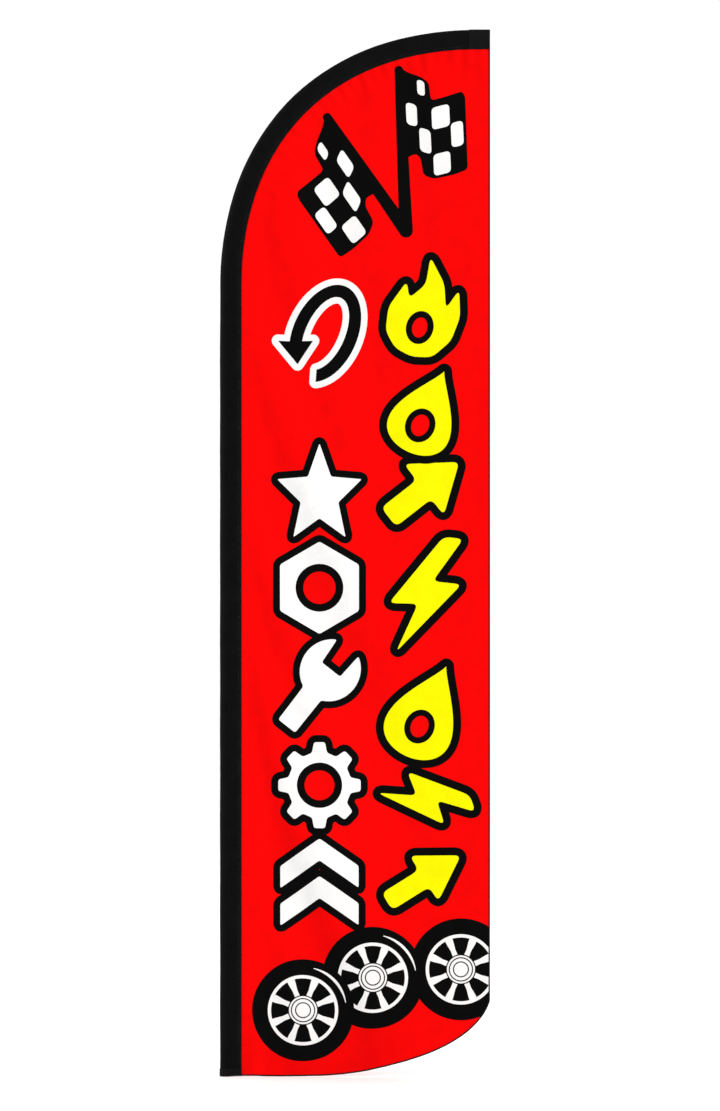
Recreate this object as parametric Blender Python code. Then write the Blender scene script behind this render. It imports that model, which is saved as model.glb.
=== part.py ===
"""Feather flag: a printed banner with a sewn pole sleeve, on a sectional pole that turns on a spindle.

The flag lies in the XZ plane and its printed front faces -Y. The pole's axis leaves the origin
along +Z, bows over at the top and ends level, pointing along +X. Lengths are in metres.
"""

from math import acos, atan2, cos, hypot, pi, sin

import bmesh
import bpy
from mathutils import Vector

MM = 0.001
GAP = 0.3 * MM  # between pieces that touch
SIDES = 32  # facets of a turned piece

# The flag's outline
FLAG_HEIGHT = 3505 * MM
FLAG_WIDTH = 905 * MM
BOW_RISE = 844 * MM  # height over which the pole bends from upright to level
LEVEL_RUN = 37 * MM  # level stretch at the tip
BOW_EASE_UPRIGHT = 0.567  # handles of the bow's curve, as shares of its rise and run
BOW_EASE_LEVEL = 0.650
HEM_FLAT = 250 * MM  # level stretch of the bottom edge, from the pole's axis
FLY_CORNER_RISE = 252 * MM  # height at which the bottom edge meets the fly edge
HEM_EASE_LEVEL = 0.50  # handles of the bottom curve, as shares of its run and rise
HEM_EASE_CORNER_RUN = 0.069
HEM_EASE_CORNER_RISE = 0.598

# Cloth
PANEL_THICKNESS = 0.8 * MM
SLEEVE_WALL = 1.0 * MM
TRIM_WALL = 1.2 * MM
SEAM_START = 44 * MM  # from the pole's axis to the inner row of stitches
SEAM_WIDTH = 13 * MM
BINDING_WIDTH = 5 * MM
MOUTH_WEBBING_HEIGHT = 25 * MM
POCKET_LENGTH = 70 * MM
SLEEVE_EASE = 0.4 * MM  # slack of the sleeve round the lower tube and round the tip knob

# Pole
LOWER_TUBE_RADIUS = 14.0 * MM
MIDDLE_TUBE_RADIUS = 11.0 * MM
TUBE_WALL = 1.5 * MM
SECTION_GRIP = 120 * MM  # how far the middle section stands in the lower one
FERRULE_GRIP = 106 * MM  # how far the ferrule stands in the middle section
LIP_HEIGHT = 6 * MM
SHOULDER_HEIGHT = 4 * MM
SHOULDER_LEDGE = 2 * MM
BOW_LEAD = 183 * MM  # straight rod between the ferrule and the bow
FERRULE_LENGTH = 120 * MM
FERRULE_WALL = 0.9 * MM
FERRULE_FLOOR = 2 * MM
ROD_ROOT_RADIUS = 5.0 * MM
ROD_TIP_RADIUS = 3.0 * MM
KNOB_RADIUS = 6.3 * MM
KNOB_LENGTH = 20 * MM
KNOB_BORE_DEPTH = 12 * MM

# Spindle and rotor
FLANGE_RADIUS = 13.0 * MM
FLANGE_HEIGHT = 8 * MM
SHAFT_RADIUS = 8.0 * MM
SHAFT_TOP = 150 * MM
SOCKET_RADIUS = 4.25 * MM  # core of an M10 thread, for the stud of a ground stake or cross base
SOCKET_DEPTH = 16 * MM
FOOT_HEIGHT = 22 * MM
GROOVE_DEPTH = 1.2 * MM
CLIP_THICKNESS = 1.2 * MM
CLIP_RADIUS = 11.0 * MM
CLIP_OPENING = pi / 2
WASHER_THICKNESS = 2.0 * MM
WASHER_RADIUS = 12.0 * MM
TOP_WASHER_THICKNESS = 1.5 * MM
TOP_WASHER_RADIUS = 10.8 * MM
ROTOR_LENGTH = 129 * MM
ROTOR_EASE = 0.9 * MM  # between the rotor's body and the tube's bore, bridged by the rubber rings
ROTOR_FLANGE_SETBACK = 0.2 * MM  # from the tube's outside
ROTOR_FLANGE_HEIGHT = 4 * MM
O_RING_SECTION = 0.85 * MM
O_RING_SETBACK = 22 * MM  # from each end of the rotor's body

# Heights that follow from the sizes above
WASHER_BOTTOM = FLANGE_HEIGHT + GAP
ROTOR_BOTTOM = WASHER_BOTTOM + WASHER_THICKNESS + GAP
ROTOR_TOP = ROTOR_BOTTOM + ROTOR_LENGTH
TOP_WASHER_BOTTOM = ROTOR_TOP + GAP
CLIP_BOTTOM = TOP_WASHER_BOTTOM + TOP_WASHER_THICKNESS + GAP
LOWER_TUBE_BOTTOM = ROTOR_BOTTOM + ROTOR_FLANGE_HEIGHT + GAP
LOWER_TUBE_BORE = LOWER_TUBE_RADIUS - TUBE_WALL
MIDDLE_TUBE_BORE = MIDDLE_TUBE_RADIUS - TUBE_WALL
FERRULE_RADIUS = ROD_ROOT_RADIUS + GAP + FERRULE_WALL
ROTOR_RADIUS = LOWER_TUBE_BORE - ROTOR_EASE
ROTOR_FLANGE_RADIUS = LOWER_TUBE_RADIUS - ROTOR_FLANGE_SETBACK

SLEEVE_RADIUS = LOWER_TUBE_RADIUS + SLEEVE_EASE
SLEEVE_TIP_RADIUS = KNOB_RADIUS + SLEEVE_EASE + 0.1 * MM
SEAM_GAP = PANEL_THICKNESS / 2 + GAP
SEAM_END = SEAM_START + SEAM_WIDTH
FLY_X = FLAG_WIDTH - SLEEVE_RADIUS - SLEEVE_WALL
AXIS_TOP = FLAG_HEIGHT - SLEEVE_TIP_RADIUS - SLEEVE_WALL
BOW_START = AXIS_TOP - BOW_RISE
BOW_RUN = FLY_X - LEVEL_RUN

FERRULE_TOP = BOW_START - BOW_LEAD
FERRULE_BOTTOM = FERRULE_TOP - FERRULE_LENGTH
MIDDLE_COLLAR_TOP = FERRULE_BOTTOM + FERRULE_GRIP
MIDDLE_TUBE_TOP = MIDDLE_COLLAR_TOP - LIP_HEIGHT - GAP
SECTION_RISE = SECTION_GRIP - LIP_HEIGHT - GAP
MIDDLE_TUBE_BOTTOM = (MIDDLE_TUBE_TOP + LOWER_TUBE_BOTTOM - SECTION_RISE) / 2  # equal tubes
LOWER_COLLAR_TOP = MIDDLE_TUBE_BOTTOM + SECTION_GRIP
LOWER_TUBE_TOP = MIDDLE_TUBE_BOTTOM + SECTION_RISE


# ---------------------------------------------------------------- finishes and objects


def finish(name, colour, roughness, metallic=0.0):
    """A Principled material in one colour, given as linear red, green and blue."""
    material = bpy.data.materials.new(name)
    material.use_nodes = True
    shader = material.node_tree.nodes["Principled BSDF"]
    shader.inputs["Base Color"].default_value = (*colour, 1.0)
    shader.inputs["Roughness"].default_value = roughness
    shader.inputs["Metallic"].default_value = metallic
    return material


def assembly(name, parent=None):
    """An empty on the pole's axis that carries the pieces of one moving body."""
    holder = bpy.data.objects.new(name, None)
    holder.parent = parent
    bpy.context.scene.collection.objects.link(holder)
    return holder


def piece(name, form, material, holder, smooth=True):
    """Links a bmesh as a named object on its holder, with its faces pointing outwards."""
    bmesh.ops.recalc_face_normals(form, faces=form.faces)
    mesh = bpy.data.meshes.new(name)
    form.to_mesh(mesh)
    form.free()
    mesh.materials.append(material)
    if smooth:
        mesh.shade_smooth()
        mesh.set_sharp_from_angle(angle=pi / 6)
    thing = bpy.data.objects.new(name, mesh)
    thing.parent = holder
    bpy.context.scene.collection.objects.link(thing)
    return thing


def turned(name, profile, material, holder):
    """Spins a profile of (radius, height) points about Z. One that ends on the axis stays open there."""
    form = bmesh.new()
    corners = [form.verts.new((radius, 0, height)) for radius, height in profile]
    edges = [form.edges.new(pair) for pair in zip(corners, corners[1:])]
    if profile[0][0] > 0:
        edges.append(form.edges.new((corners[-1], corners[0])))
    bmesh.ops.spin(
        form,
        geom=corners + edges,
        axis=(0, 0, 1),
        cent=(0, 0, 0),
        angle=2 * pi,
        steps=SIDES,
        use_merge=True,
    )
    bmesh.ops.remove_doubles(form, verts=form.verts, dist=MM / 1000)
    return piece(name, form, material, holder)


def tube(bore, radius, bottom, top):
    """Profile of a plain tube."""
    return [(bore, bottom), (radius, bottom), (radius, top), (bore, top)]


# ---------------------------------------------------------------- paths that pieces follow


def curve(start, start_handle, end_handle, end, count):
    """Points on a cubic curve, both ends included."""
    points = []
    for step in range(count):
        t = step / (count - 1)
        weights = ((1 - t) ** 3, 3 * (1 - t) ** 2 * t, 3 * (1 - t) * t**2, t**3)
        corners = (start, start_handle, end_handle, end)
        points.append(sum((w * Vector(p) for w, p in zip(weights, corners)), Vector((0, 0))))
    return points


class Path:
    """A line in the XZ plane, measured by its length, whose side direction points into the flag."""

    def __init__(self, points, side):
        self.points = points
        self.reach = [0.0]
        for a, b in zip(points, points[1:]):
            self.reach.append(self.reach[-1] + (b - a).length)
        self.sides = []
        last = len(points) - 1
        for index in range(len(points)):
            along = (points[min(index + 1, last)] - points[max(index - 1, 0)]).normalized()
            self.sides.append(side * Vector((along.y, -along.x)))
        self.length = self.reach[-1]

    def station(self, distance):
        """The point and side direction at a distance, on the straight line between neighbours."""
        index = 0
        while index < len(self.reach) - 2 and self.reach[index + 1] < distance:
            index += 1
        share = (distance - self.reach[index]) / (self.reach[index + 1] - self.reach[index])
        point = self.points[index].lerp(self.points[index + 1], share)
        return distance, point, self.sides[index].lerp(self.sides[index + 1], share)

    def stretch(self, start, end):
        """Stations from start to end, with every corner of the path between them."""
        inner = [reach for reach in self.reach if start + MM < reach < end - MM]
        return [self.station(distance) for distance in [start, *inner, end]]


def pole_axis():
    """Upright, then over the bow, then level to the fly edge."""
    bow = curve(
        (0, BOW_START),
        (0, BOW_START + BOW_EASE_UPRIGHT * BOW_RISE),
        (BOW_RUN - BOW_EASE_LEVEL * BOW_RUN, AXIS_TOP),
        (BOW_RUN, AXIS_TOP),
        30,
    )
    return Path([Vector((0, 0)), Vector((0, FERRULE_TOP)), *bow, Vector((FLY_X, AXIS_TOP))], side=1)


def hem_line():
    """The bottom edge, from the sleeve's seam to the fly corner."""
    run = FLY_X - HEM_FLAT
    sweep = curve(
        (HEM_FLAT, 0),
        (HEM_FLAT + HEM_EASE_LEVEL * run, 0),
        (FLY_X - HEM_EASE_CORNER_RUN * run, FLY_CORNER_RISE * (1 - HEM_EASE_CORNER_RISE)),
        (FLY_X, FLY_CORNER_RISE),
        22,
    )
    return Path([Vector((SEAM_END + GAP, 0)), *sweep], side=-1)


def swept(stations, section):
    """A closed bmesh: the (side, across) points of the section at each station, joined and capped."""
    form = bmesh.new()
    rings = []
    for distance, point, side in stations:
        places = [(point.x + side.x * u, v, point.y + side.y * u) for u, v in section(distance)]
        rings.append([form.verts.new(place) for place in places])
    for ring, following in zip(rings, rings[1:]):
        for index, corner in enumerate(ring):
            form.faces.new((corner, ring[index - 1], following[index - 1], following[index]))
    form.faces.new(rings[0])
    form.faces.new(rings[-1])
    return form


def loop_edge(radius, half_gap, arc_steps=14):
    """One face of the folded strip: round the pole from seam to seam, touching both flat leaves."""
    lean = atan2(half_gap, SEAM_START) + acos(radius / hypot(SEAM_START, half_gap))
    angles = [lean + (2 * pi - 2 * lean) * step / arc_steps for step in range(arc_steps + 1)]
    around = [(radius * cos(angle), radius * sin(angle)) for angle in angles]
    return [(SEAM_START, half_gap), *around, (SEAM_START, -half_gap)]


def folded_strip(radius, half_gap, wall):
    """Section of a strip folded round the pole, its two leaves closing on the panel."""
    outside = [(SEAM_END, half_gap + wall), *loop_edge(radius + wall, half_gap + wall)]
    outside.append((SEAM_END, -half_gap - wall))
    inside = [(SEAM_END, half_gap), *loop_edge(radius, half_gap), (SEAM_END, -half_gap)]
    return outside + inside[::-1]


def filled_loop(radius, half_gap, end):
    """Section of everything inside a folded strip, as far as end."""
    return [(end, half_gap), *loop_edge(radius, half_gap), (end, -half_gap)]


def sleeve_radius(distance):
    """The sleeve's inner radius: even along the tubes, then tapering with the rod to the tip."""
    share = max(0.0, (distance - FERRULE_TOP) / (POLE.length - FERRULE_TOP))
    return SLEEVE_RADIUS + (SLEEVE_TIP_RADIUS - SLEEVE_RADIUS) * share


def rod_radius(distance):
    share = max(0.0, (distance - FERRULE_TOP) / (POLE.length - FERRULE_TOP))
    return ROD_ROOT_RADIUS + (ROD_TIP_RADIUS - ROD_ROOT_RADIUS) * share


# ---------------------------------------------------------------- spindle and rotor


def make_spindle(holder):
    """Steel foot, tapped for the stud of a stake or base, with the turned shaft pressed into its top."""
    groove_floor = SHAFT_RADIUS - GROOVE_DEPTH
    groove_bottom = CLIP_BOTTOM - GAP
    groove_top = CLIP_BOTTOM + CLIP_THICKNESS + GAP
    chamfer = 1 * MM
    foot = [
        (SOCKET_RADIUS, 0),
        (FLANGE_RADIUS, 0),
        (FLANGE_RADIUS, FLANGE_HEIGHT),
        (SHAFT_RADIUS, FLANGE_HEIGHT),
        (SHAFT_RADIUS, FOOT_HEIGHT),
        (SOCKET_RADIUS, FOOT_HEIGHT),
    ]
    spigot = SOCKET_RADIUS - GAP
    profile = [
        (0, SOCKET_DEPTH),
        (spigot, SOCKET_DEPTH),
        (spigot, FOOT_HEIGHT + GAP),
        (SHAFT_RADIUS, FOOT_HEIGHT + GAP),
        (SHAFT_RADIUS, groove_bottom),
        (groove_floor, groove_bottom),
        (groove_floor, groove_top),
        (SHAFT_RADIUS, groove_top),
        (SHAFT_RADIUS, SHAFT_TOP - chamfer),
        (SHAFT_RADIUS - chamfer, SHAFT_TOP),
        (0, SHAFT_TOP),
    ]
    plated_steel = finish("zinc_plated_steel", (0.55, 0.56, 0.57), 0.30, 1.0)
    turned("spindle_foot", foot, plated_steel, holder)
    turned("spindle_shaft", profile, plated_steel, holder)

    bore = SHAFT_RADIUS + GAP
    acetal = finish("acetal", (0.78, 0.77, 0.73), 0.45)
    washer = tube(bore, WASHER_RADIUS, WASHER_BOTTOM, WASHER_BOTTOM + WASHER_THICKNESS)
    turned("lower_thrust_washer", washer, acetal, holder)
    top_washer = tube(
        bore, TOP_WASHER_RADIUS, TOP_WASHER_BOTTOM, TOP_WASHER_BOTTOM + TOP_WASHER_THICKNESS
    )
    turned("upper_thrust_washer", top_washer, acetal, holder)
    make_clip(holder, groove_floor + GAP)


def make_clip(holder, bore):
    """Open spring ring that snaps into the shaft's groove and keeps the rotor on."""
    steps = 24
    sweep = 2 * pi - CLIP_OPENING
    angles = [CLIP_OPENING / 2 + sweep * step / steps for step in range(steps + 1)]
    outer = [(CLIP_RADIUS * cos(angle), CLIP_RADIUS * sin(angle), CLIP_BOTTOM) for angle in angles]
    inner = [(bore * cos(angle), bore * sin(angle), CLIP_BOTTOM) for angle in reversed(angles)]
    form = bmesh.new()
    outline = form.faces.new([form.verts.new(place) for place in outer + inner])
    raised = bmesh.ops.extrude_face_region(form, geom=[outline])["geom"]
    top = [item for item in raised if isinstance(item, bmesh.types.BMVert)]
    bmesh.ops.translate(form, verts=top, vec=(0, 0, CLIP_THICKNESS))
    piece("retaining_clip", form, finish("spring_steel", (0.12, 0.12, 0.13), 0.35, 1.0), holder)


def make_rotor(holder):
    """Nylon sleeve that the lower tube pushes over, with two rubber rings that grip the tube's bore."""
    ring_centre = LOWER_TUBE_BORE - GAP - O_RING_SECTION
    groove_floor = ring_centre - O_RING_SECTION - GAP
    half_groove = O_RING_SECTION + GAP
    body_bottom = ROTOR_BOTTOM + ROTOR_FLANGE_HEIGHT
    heights = (body_bottom + O_RING_SETBACK, ROTOR_TOP - O_RING_SETBACK)
    profile = [
        (SHAFT_RADIUS + GAP, ROTOR_BOTTOM),
        (ROTOR_FLANGE_RADIUS, ROTOR_BOTTOM),
        (ROTOR_FLANGE_RADIUS, body_bottom),
        (ROTOR_RADIUS, body_bottom),
    ]
    for height in heights:
        profile += [
            (ROTOR_RADIUS, height - half_groove),
            (groove_floor, height - half_groove),
            (groove_floor, height + half_groove),
            (ROTOR_RADIUS, height + half_groove),
        ]
    top_land = 1 * MM  # flat rim that the lead-in leaves on the rotor's end
    lead_in = min(2 * MM, ROTOR_RADIUS - SHAFT_RADIUS - GAP - top_land)
    profile += [
        (ROTOR_RADIUS, ROTOR_TOP - lead_in),
        (ROTOR_RADIUS - lead_in, ROTOR_TOP),
        (SHAFT_RADIUS + GAP, ROTOR_TOP),
    ]
    turned("rotor_sleeve", profile, finish("nylon", (0.03, 0.03, 0.03), 0.50), holder)

    rubber = finish("nitrile_rubber", (0.015, 0.015, 0.015), 0.75)
    for name, height in zip(("rotor_o_ring_low", "rotor_o_ring_high"), heights):
        angles = [2 * pi * step / 8 for step in range(8)]
        section = [
            (ring_centre + O_RING_SECTION * cos(angle), height + O_RING_SECTION * sin(angle))
            for angle in angles
        ]
        turned(name, section, rubber, holder)


# ---------------------------------------------------------------- pole sections


def collar(bore, spigot, lip, seat, top):
    """Profile of a reducer glued in a tube's end: spigot, lip on the rim, and a ledge inside at seat."""
    bottom = seat - GAP - SHOULDER_HEIGHT
    ledge = bore - SHOULDER_LEDGE
    rim = 1 * MM
    return [
        (ledge, bottom),
        (spigot, bottom),
        (spigot, top - LIP_HEIGHT),
        (lip, top - LIP_HEIGHT),
        (lip, top - rim),
        (lip - rim, top),
        (bore, top),
        (bore, seat - GAP),
        (ledge, seat - GAP),
    ]


def make_lower_section(holder):
    aluminium = finish("anodised_aluminium", (0.62, 0.63, 0.64), 0.32, 1.0)
    profile = tube(LOWER_TUBE_BORE, LOWER_TUBE_RADIUS, LOWER_TUBE_BOTTOM, LOWER_TUBE_TOP)
    turned("lower_tube", profile, aluminium, holder)
    plastic = finish("moulded_abs", (0.02, 0.02, 0.02), 0.45)
    reducer = collar(
        MIDDLE_TUBE_RADIUS + GAP,
        LOWER_TUBE_BORE - GAP,
        LOWER_TUBE_RADIUS,
        MIDDLE_TUBE_BOTTOM,
        LOWER_COLLAR_TOP,
    )
    turned("lower_collar", reducer, plastic, holder)


def make_middle_section(holder):
    aluminium = finish("anodised_aluminium", (0.62, 0.63, 0.64), 0.32, 1.0)
    profile = tube(MIDDLE_TUBE_BORE, MIDDLE_TUBE_RADIUS, MIDDLE_TUBE_BOTTOM, MIDDLE_TUBE_TOP)
    turned("middle_tube", profile, aluminium, holder)
    plastic = finish("moulded_abs", (0.02, 0.02, 0.02), 0.45)
    reducer = collar(
        FERRULE_RADIUS + GAP,
        MIDDLE_TUBE_BORE - GAP,
        MIDDLE_TUBE_RADIUS,
        FERRULE_BOTTOM,
        MIDDLE_COLLAR_TOP,
    )
    turned("middle_collar", reducer, plastic, holder)


def make_tip_section(holder):
    """Ferrule, tapered fibreglass rod and the knob that fills the tip pocket."""
    floor = FERRULE_BOTTOM + FERRULE_FLOOR
    ferrule_bore = ROD_ROOT_RADIUS + GAP
    cup = [
        (0, FERRULE_BOTTOM),
        (FERRULE_RADIUS, FERRULE_BOTTOM),
        (FERRULE_RADIUS, FERRULE_TOP),
        (ferrule_bore, FERRULE_TOP),
        (ferrule_bore, floor),
        (0, floor),
    ]
    turned("rod_ferrule", cup, finish("bright_aluminium", (0.75, 0.76, 0.77), 0.25, 1.0), holder)

    knob_nose = FLY_X - TRIM_WALL - GAP - 0.5 * MM
    knob_base = knob_nose - KNOB_LENGTH
    rod_end = POLE.length - (FLY_X - knob_base) + KNOB_BORE_DEPTH - GAP
    form = swept(
        POLE.stretch(floor + GAP, rod_end),
        lambda distance: [
            (rod_radius(distance) * cos(pi * step / 6), rod_radius(distance) * sin(pi * step / 6))
            for step in range(12)
        ],
    )
    piece("tip_rod", form, finish("pultruded_fibreglass", (0.72, 0.70, 0.60), 0.35), holder)

    bore = ROD_TIP_RADIUS + GAP
    nose = 6 * MM
    round_nose = [
        (KNOB_RADIUS * cos(pi / 2 * step / 6), KNOB_LENGTH - nose + nose * sin(pi / 2 * step / 6))
        for step in range(7)
    ]
    round_nose[-1] = (0, KNOB_LENGTH)
    profile = [(0, KNOB_BORE_DEPTH), (bore, KNOB_BORE_DEPTH), (bore, 0), (KNOB_RADIUS, 0), *round_nose]
    knob = turned("tip_knob", profile, finish("acetal_knob", (0.03, 0.03, 0.03), 0.40), holder)
    knob.location = (knob_base, 0, AXIS_TOP)
    knob.rotation_euler = (0, pi / 2, 0)


# ---------------------------------------------------------------- cloth


def make_sleeve(holder):
    """The strip that is folded round the pole and sewn to the panel along the whole pole."""
    form = swept(
        POLE.stretch(0, POLE.length - TRIM_WALL - GAP),
        lambda distance: folded_strip(sleeve_radius(distance), SEAM_GAP, SLEEVE_WALL),
    )
    piece("pole_sleeve", form, finish("black_oxford_nylon", (0.012, 0.012, 0.013), 0.85), holder)

    webbing = finish("black_webbing", (0.01, 0.01, 0.01), 0.9)
    outer_gap = SEAM_GAP + SLEEVE_WALL + GAP
    band = swept(
        POLE.stretch(0, MOUTH_WEBBING_HEIGHT),
        lambda distance: folded_strip(sleeve_radius(distance) + SLEEVE_WALL + GAP, outer_gap, TRIM_WALL),
    )
    piece("mouth_webbing", band, webbing, holder)

    start = POLE.length - POCKET_LENGTH
    shell = swept(
        POLE.stretch(start, POLE.length),
        lambda distance: filled_loop(
            sleeve_radius(distance) + SLEEVE_WALL + GAP + TRIM_WALL, outer_gap + TRIM_WALL, SEAM_END
        ),
    )
    pocket = piece("tip_pocket", shell, webbing, holder)
    space = swept(
        POLE.stretch(start - 5 * MM, POLE.length - TRIM_WALL),
        lambda distance: filled_loop(
            sleeve_radius(distance) + SLEEVE_WALL + GAP, outer_gap, SEAM_END + 5 * MM
        ),
    )
    cutter = piece("tip_pocket_space", space, webbing, holder)
    cutter.hide_render = True
    cutter.display_type = "WIRE"
    cut = pocket.modifiers.new("space", "BOOLEAN")
    cut.operation = "DIFFERENCE"
    cut.object = cutter


def make_panel(holder):
    """The printed panel, one flat sheet from the sleeve's seam to the bindings."""
    inset = TRIM_WALL + GAP
    seam = POLE.stretch(inset, POLE.length - inset)
    hidden = SEAM_START + GAP
    outline = [point + side * hidden for distance, point, side in seam]
    edge = [point + side * inset for distance, point, side in HEM.stretch(MM, HEM.length)]
    corner = edge.pop()
    outline.append(Vector((FLY_X - inset, corner.y)))
    outline += edge[::-1]
    form = bmesh.new()
    half = PANEL_THICKNESS / 2
    sheet = form.faces.new([form.verts.new((point.x, -half, point.y)) for point in outline])
    raised = bmesh.ops.extrude_face_region(form, geom=[sheet])["geom"]
    back = [item for item in raised if isinstance(item, bmesh.types.BMVert)]
    bmesh.ops.translate(form, verts=back, vec=(0, PANEL_THICKNESS, 0))
    piece("banner_panel", form, finish("printed_polyester", (0.8, 0.0, 0.0), 0.8), holder, smooth=False)


def binding_section(distance):
    """U of tape over the panel's edge: its spine on the outline, its legs on both faces."""
    outer = SEAM_GAP + TRIM_WALL
    outside = [(BINDING_WIDTH, outer), (0, outer), (0, -outer), (BINDING_WIDTH, -outer)]
    inside = [
        (BINDING_WIDTH, -SEAM_GAP),
        (TRIM_WALL, -SEAM_GAP),
        (TRIM_WALL, SEAM_GAP),
        (BINDING_WIDTH, SEAM_GAP),
    ]
    return outside + inside


def make_bindings(holder):
    tape = finish("black_binding_tape", (0.01, 0.01, 0.01), 0.85)
    bottom = swept(HEM.stretch(0, HEM.length), binding_section)
    piece("bottom_edge_binding", bottom, tape, holder, smooth=False)
    foot = FLY_CORNER_RISE + BINDING_WIDTH * HEM.sides[-1].y + GAP
    head = AXIS_TOP - SEAM_END - GAP
    edge = Path([Vector((FLY_X, foot)), Vector((FLY_X, head))], side=-1)
    fly = swept(edge.stretch(0, edge.length), binding_section)
    piece("fly_edge_binding", fly, tape, holder, smooth=False)


# ---------------------------------------------------------------- the flag

for thing in list(bpy.data.objects):
    bpy.data.objects.remove(thing)

POLE = pole_axis()
HEM = hem_line()

ground = assembly("ground_axis")
rotor = assembly("rotor_axis", ground)
lower_pole = assembly("lower_pole_axis", rotor)
middle_pole = assembly("middle_pole_axis", lower_pole)
flag = assembly("flag_axis", middle_pole)

make_spindle(ground)
make_rotor(rotor)
make_lower_section(lower_pole)
make_middle_section(middle_pole)
make_tip_section(flag)
make_sleeve(flag)
make_panel(flag)
make_bindings(flag)
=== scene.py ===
# %% [markdown]
# # A feather flag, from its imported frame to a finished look
#
# The frame holds the hard facts: how long the pole is, where the sleeve's mouth and the tip pocket are,
# and which pieces move together. This script dresses it. It makes the cloth, the print, the stitching and
# every finish. Positions come from the frame's boxes, so the cloth fits whatever the frame says.

from math import atan2, cos, hypot, pi, radians, sin

import bmesh
import bpy
import numpy as np
from mathutils import Matrix, Vector, geometry


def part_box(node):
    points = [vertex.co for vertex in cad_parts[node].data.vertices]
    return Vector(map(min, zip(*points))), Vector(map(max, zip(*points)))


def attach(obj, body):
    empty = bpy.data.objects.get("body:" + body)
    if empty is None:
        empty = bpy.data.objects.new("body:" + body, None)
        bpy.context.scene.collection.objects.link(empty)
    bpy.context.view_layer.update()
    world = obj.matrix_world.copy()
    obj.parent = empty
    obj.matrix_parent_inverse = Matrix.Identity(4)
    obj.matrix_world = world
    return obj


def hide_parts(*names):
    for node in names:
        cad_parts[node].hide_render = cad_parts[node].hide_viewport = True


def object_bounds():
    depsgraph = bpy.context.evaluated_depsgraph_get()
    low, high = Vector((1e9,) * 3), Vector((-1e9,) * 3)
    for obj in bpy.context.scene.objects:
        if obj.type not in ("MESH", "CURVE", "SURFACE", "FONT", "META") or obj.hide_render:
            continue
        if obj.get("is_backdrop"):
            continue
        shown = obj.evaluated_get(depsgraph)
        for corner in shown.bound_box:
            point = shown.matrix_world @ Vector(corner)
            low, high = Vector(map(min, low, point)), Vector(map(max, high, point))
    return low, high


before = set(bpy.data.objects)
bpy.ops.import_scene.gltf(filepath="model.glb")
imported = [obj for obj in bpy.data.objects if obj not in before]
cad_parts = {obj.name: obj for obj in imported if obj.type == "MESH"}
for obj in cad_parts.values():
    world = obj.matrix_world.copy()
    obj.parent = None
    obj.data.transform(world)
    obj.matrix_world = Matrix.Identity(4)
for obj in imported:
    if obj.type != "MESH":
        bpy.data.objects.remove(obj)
cad_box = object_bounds()
MM = 0.001


def shown(name, data):
    """Puts a mesh, a lamp or a camera into the scene."""
    thing = bpy.data.objects.new(name, data)
    bpy.context.scene.collection.objects.link(thing)
    return thing


# %% [markdown]
# ## The lines that the cloth follows
#
# Two lines set the flag's shape. The pole's axis goes up, bows over and ends level. The hem runs level from
# the pole and sweeps up to the fly edge. Both bends are single cubic curves, which come close to a bent rod
# and to a cut cloth edge. How far they reach comes from the frame's boxes. The numbers below set their rise,
# their level stretches and their fullness.

# %% The pole's axis and the hem
FLY_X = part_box("fly_edge_binding")[1].x
AXIS_TOP = sum(corner.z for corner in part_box("tip_knob")) / 2
LEVEL_RUN = 37 * MM
BOW_RISE = 844 * MM
BOW_EASE_UPRIGHT, BOW_EASE_LEVEL = 0.567, 0.650
HEM_FLAT = 250 * MM
FLY_CORNER_RISE = 252 * MM
HEM_EASE_LEVEL, HEM_EASE_CORNER_RUN, HEM_EASE_CORNER_RISE = 0.50, 0.069, 0.598
SEAM_START, SEAM_END = 44 * MM, 57 * MM
FOOT_RADIUS = 14.5 * MM
TIP_RADIUS = 6.9 * MM
TAPER_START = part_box("rod_ferrule")[1].z
CURVE_POINTS = 90
UPRIGHT_STEP = 40 * MM


def curve(start, start_handle, end_handle, end, count):
    """Points on a cubic curve, as rows of x and z."""
    t = np.linspace(0, 1, count)[:, None]
    corners = [np.array(point, float) for point in (start, start_handle, end_handle, end)]
    weights = ((1 - t) ** 3, 3 * (1 - t) ** 2 * t, 3 * (1 - t) * t**2, t**3)
    return sum(weight * corner for weight, corner in zip(weights, corners))


class Line:
    """A line in the flag's plane, measured along its length, whose side direction points into the flag."""

    def __init__(self, points, side):
        self.points = np.array(points, float)
        steps = np.diff(self.points, axis=0)
        self.reach = np.concatenate([[0], np.cumsum(np.hypot(*steps.T))])
        self.length = self.reach[-1]
        along = np.gradient(self.points, self.reach, axis=0)
        along /= np.hypot(*along.T)[:, None]
        self.sides = side * np.column_stack([along[:, 1], -along[:, 0]])

    def at(self, reach):
        """Points and side directions at any lengths along the line."""
        point = [np.interp(reach, self.reach, self.points[:, axis]) for axis in (0, 1)]
        side = [np.interp(reach, self.reach, self.sides[:, axis]) for axis in (0, 1)]
        return np.column_stack(point), np.column_stack(side)

    def stations(self, start, end, spacing):
        """Lengths from start to end, evenly spread and about spacing apart."""
        return np.linspace(start, end, max(2, round((end - start) / spacing) + 1))

    def beside(self, points):
        """How far along the line and how far to its side each point lies."""
        a, b = self.points[:-1], self.points[1:]
        run = b - a
        reach, offset = [], []
        for chunk in np.array_split(points, max(1, len(points) // 4000)):
            away = chunk[:, None] - a
            share = np.clip((away * run).sum(2) / (run**2).sum(1), 0, 1)
            gap = away - share[..., None] * run
            distance = np.hypot(gap[..., 0], gap[..., 1])
            nearest = distance.argmin(1)
            rows = np.arange(len(chunk))
            reach.append(self.reach[nearest] + share[rows, nearest] * np.diff(self.reach)[nearest])
            sign = np.sign((gap[rows, nearest] * self.sides[nearest]).sum(1))
            offset.append(distance[rows, nearest] * np.where(sign == 0, 1, sign))
        return np.concatenate(reach), np.concatenate(offset)


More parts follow.
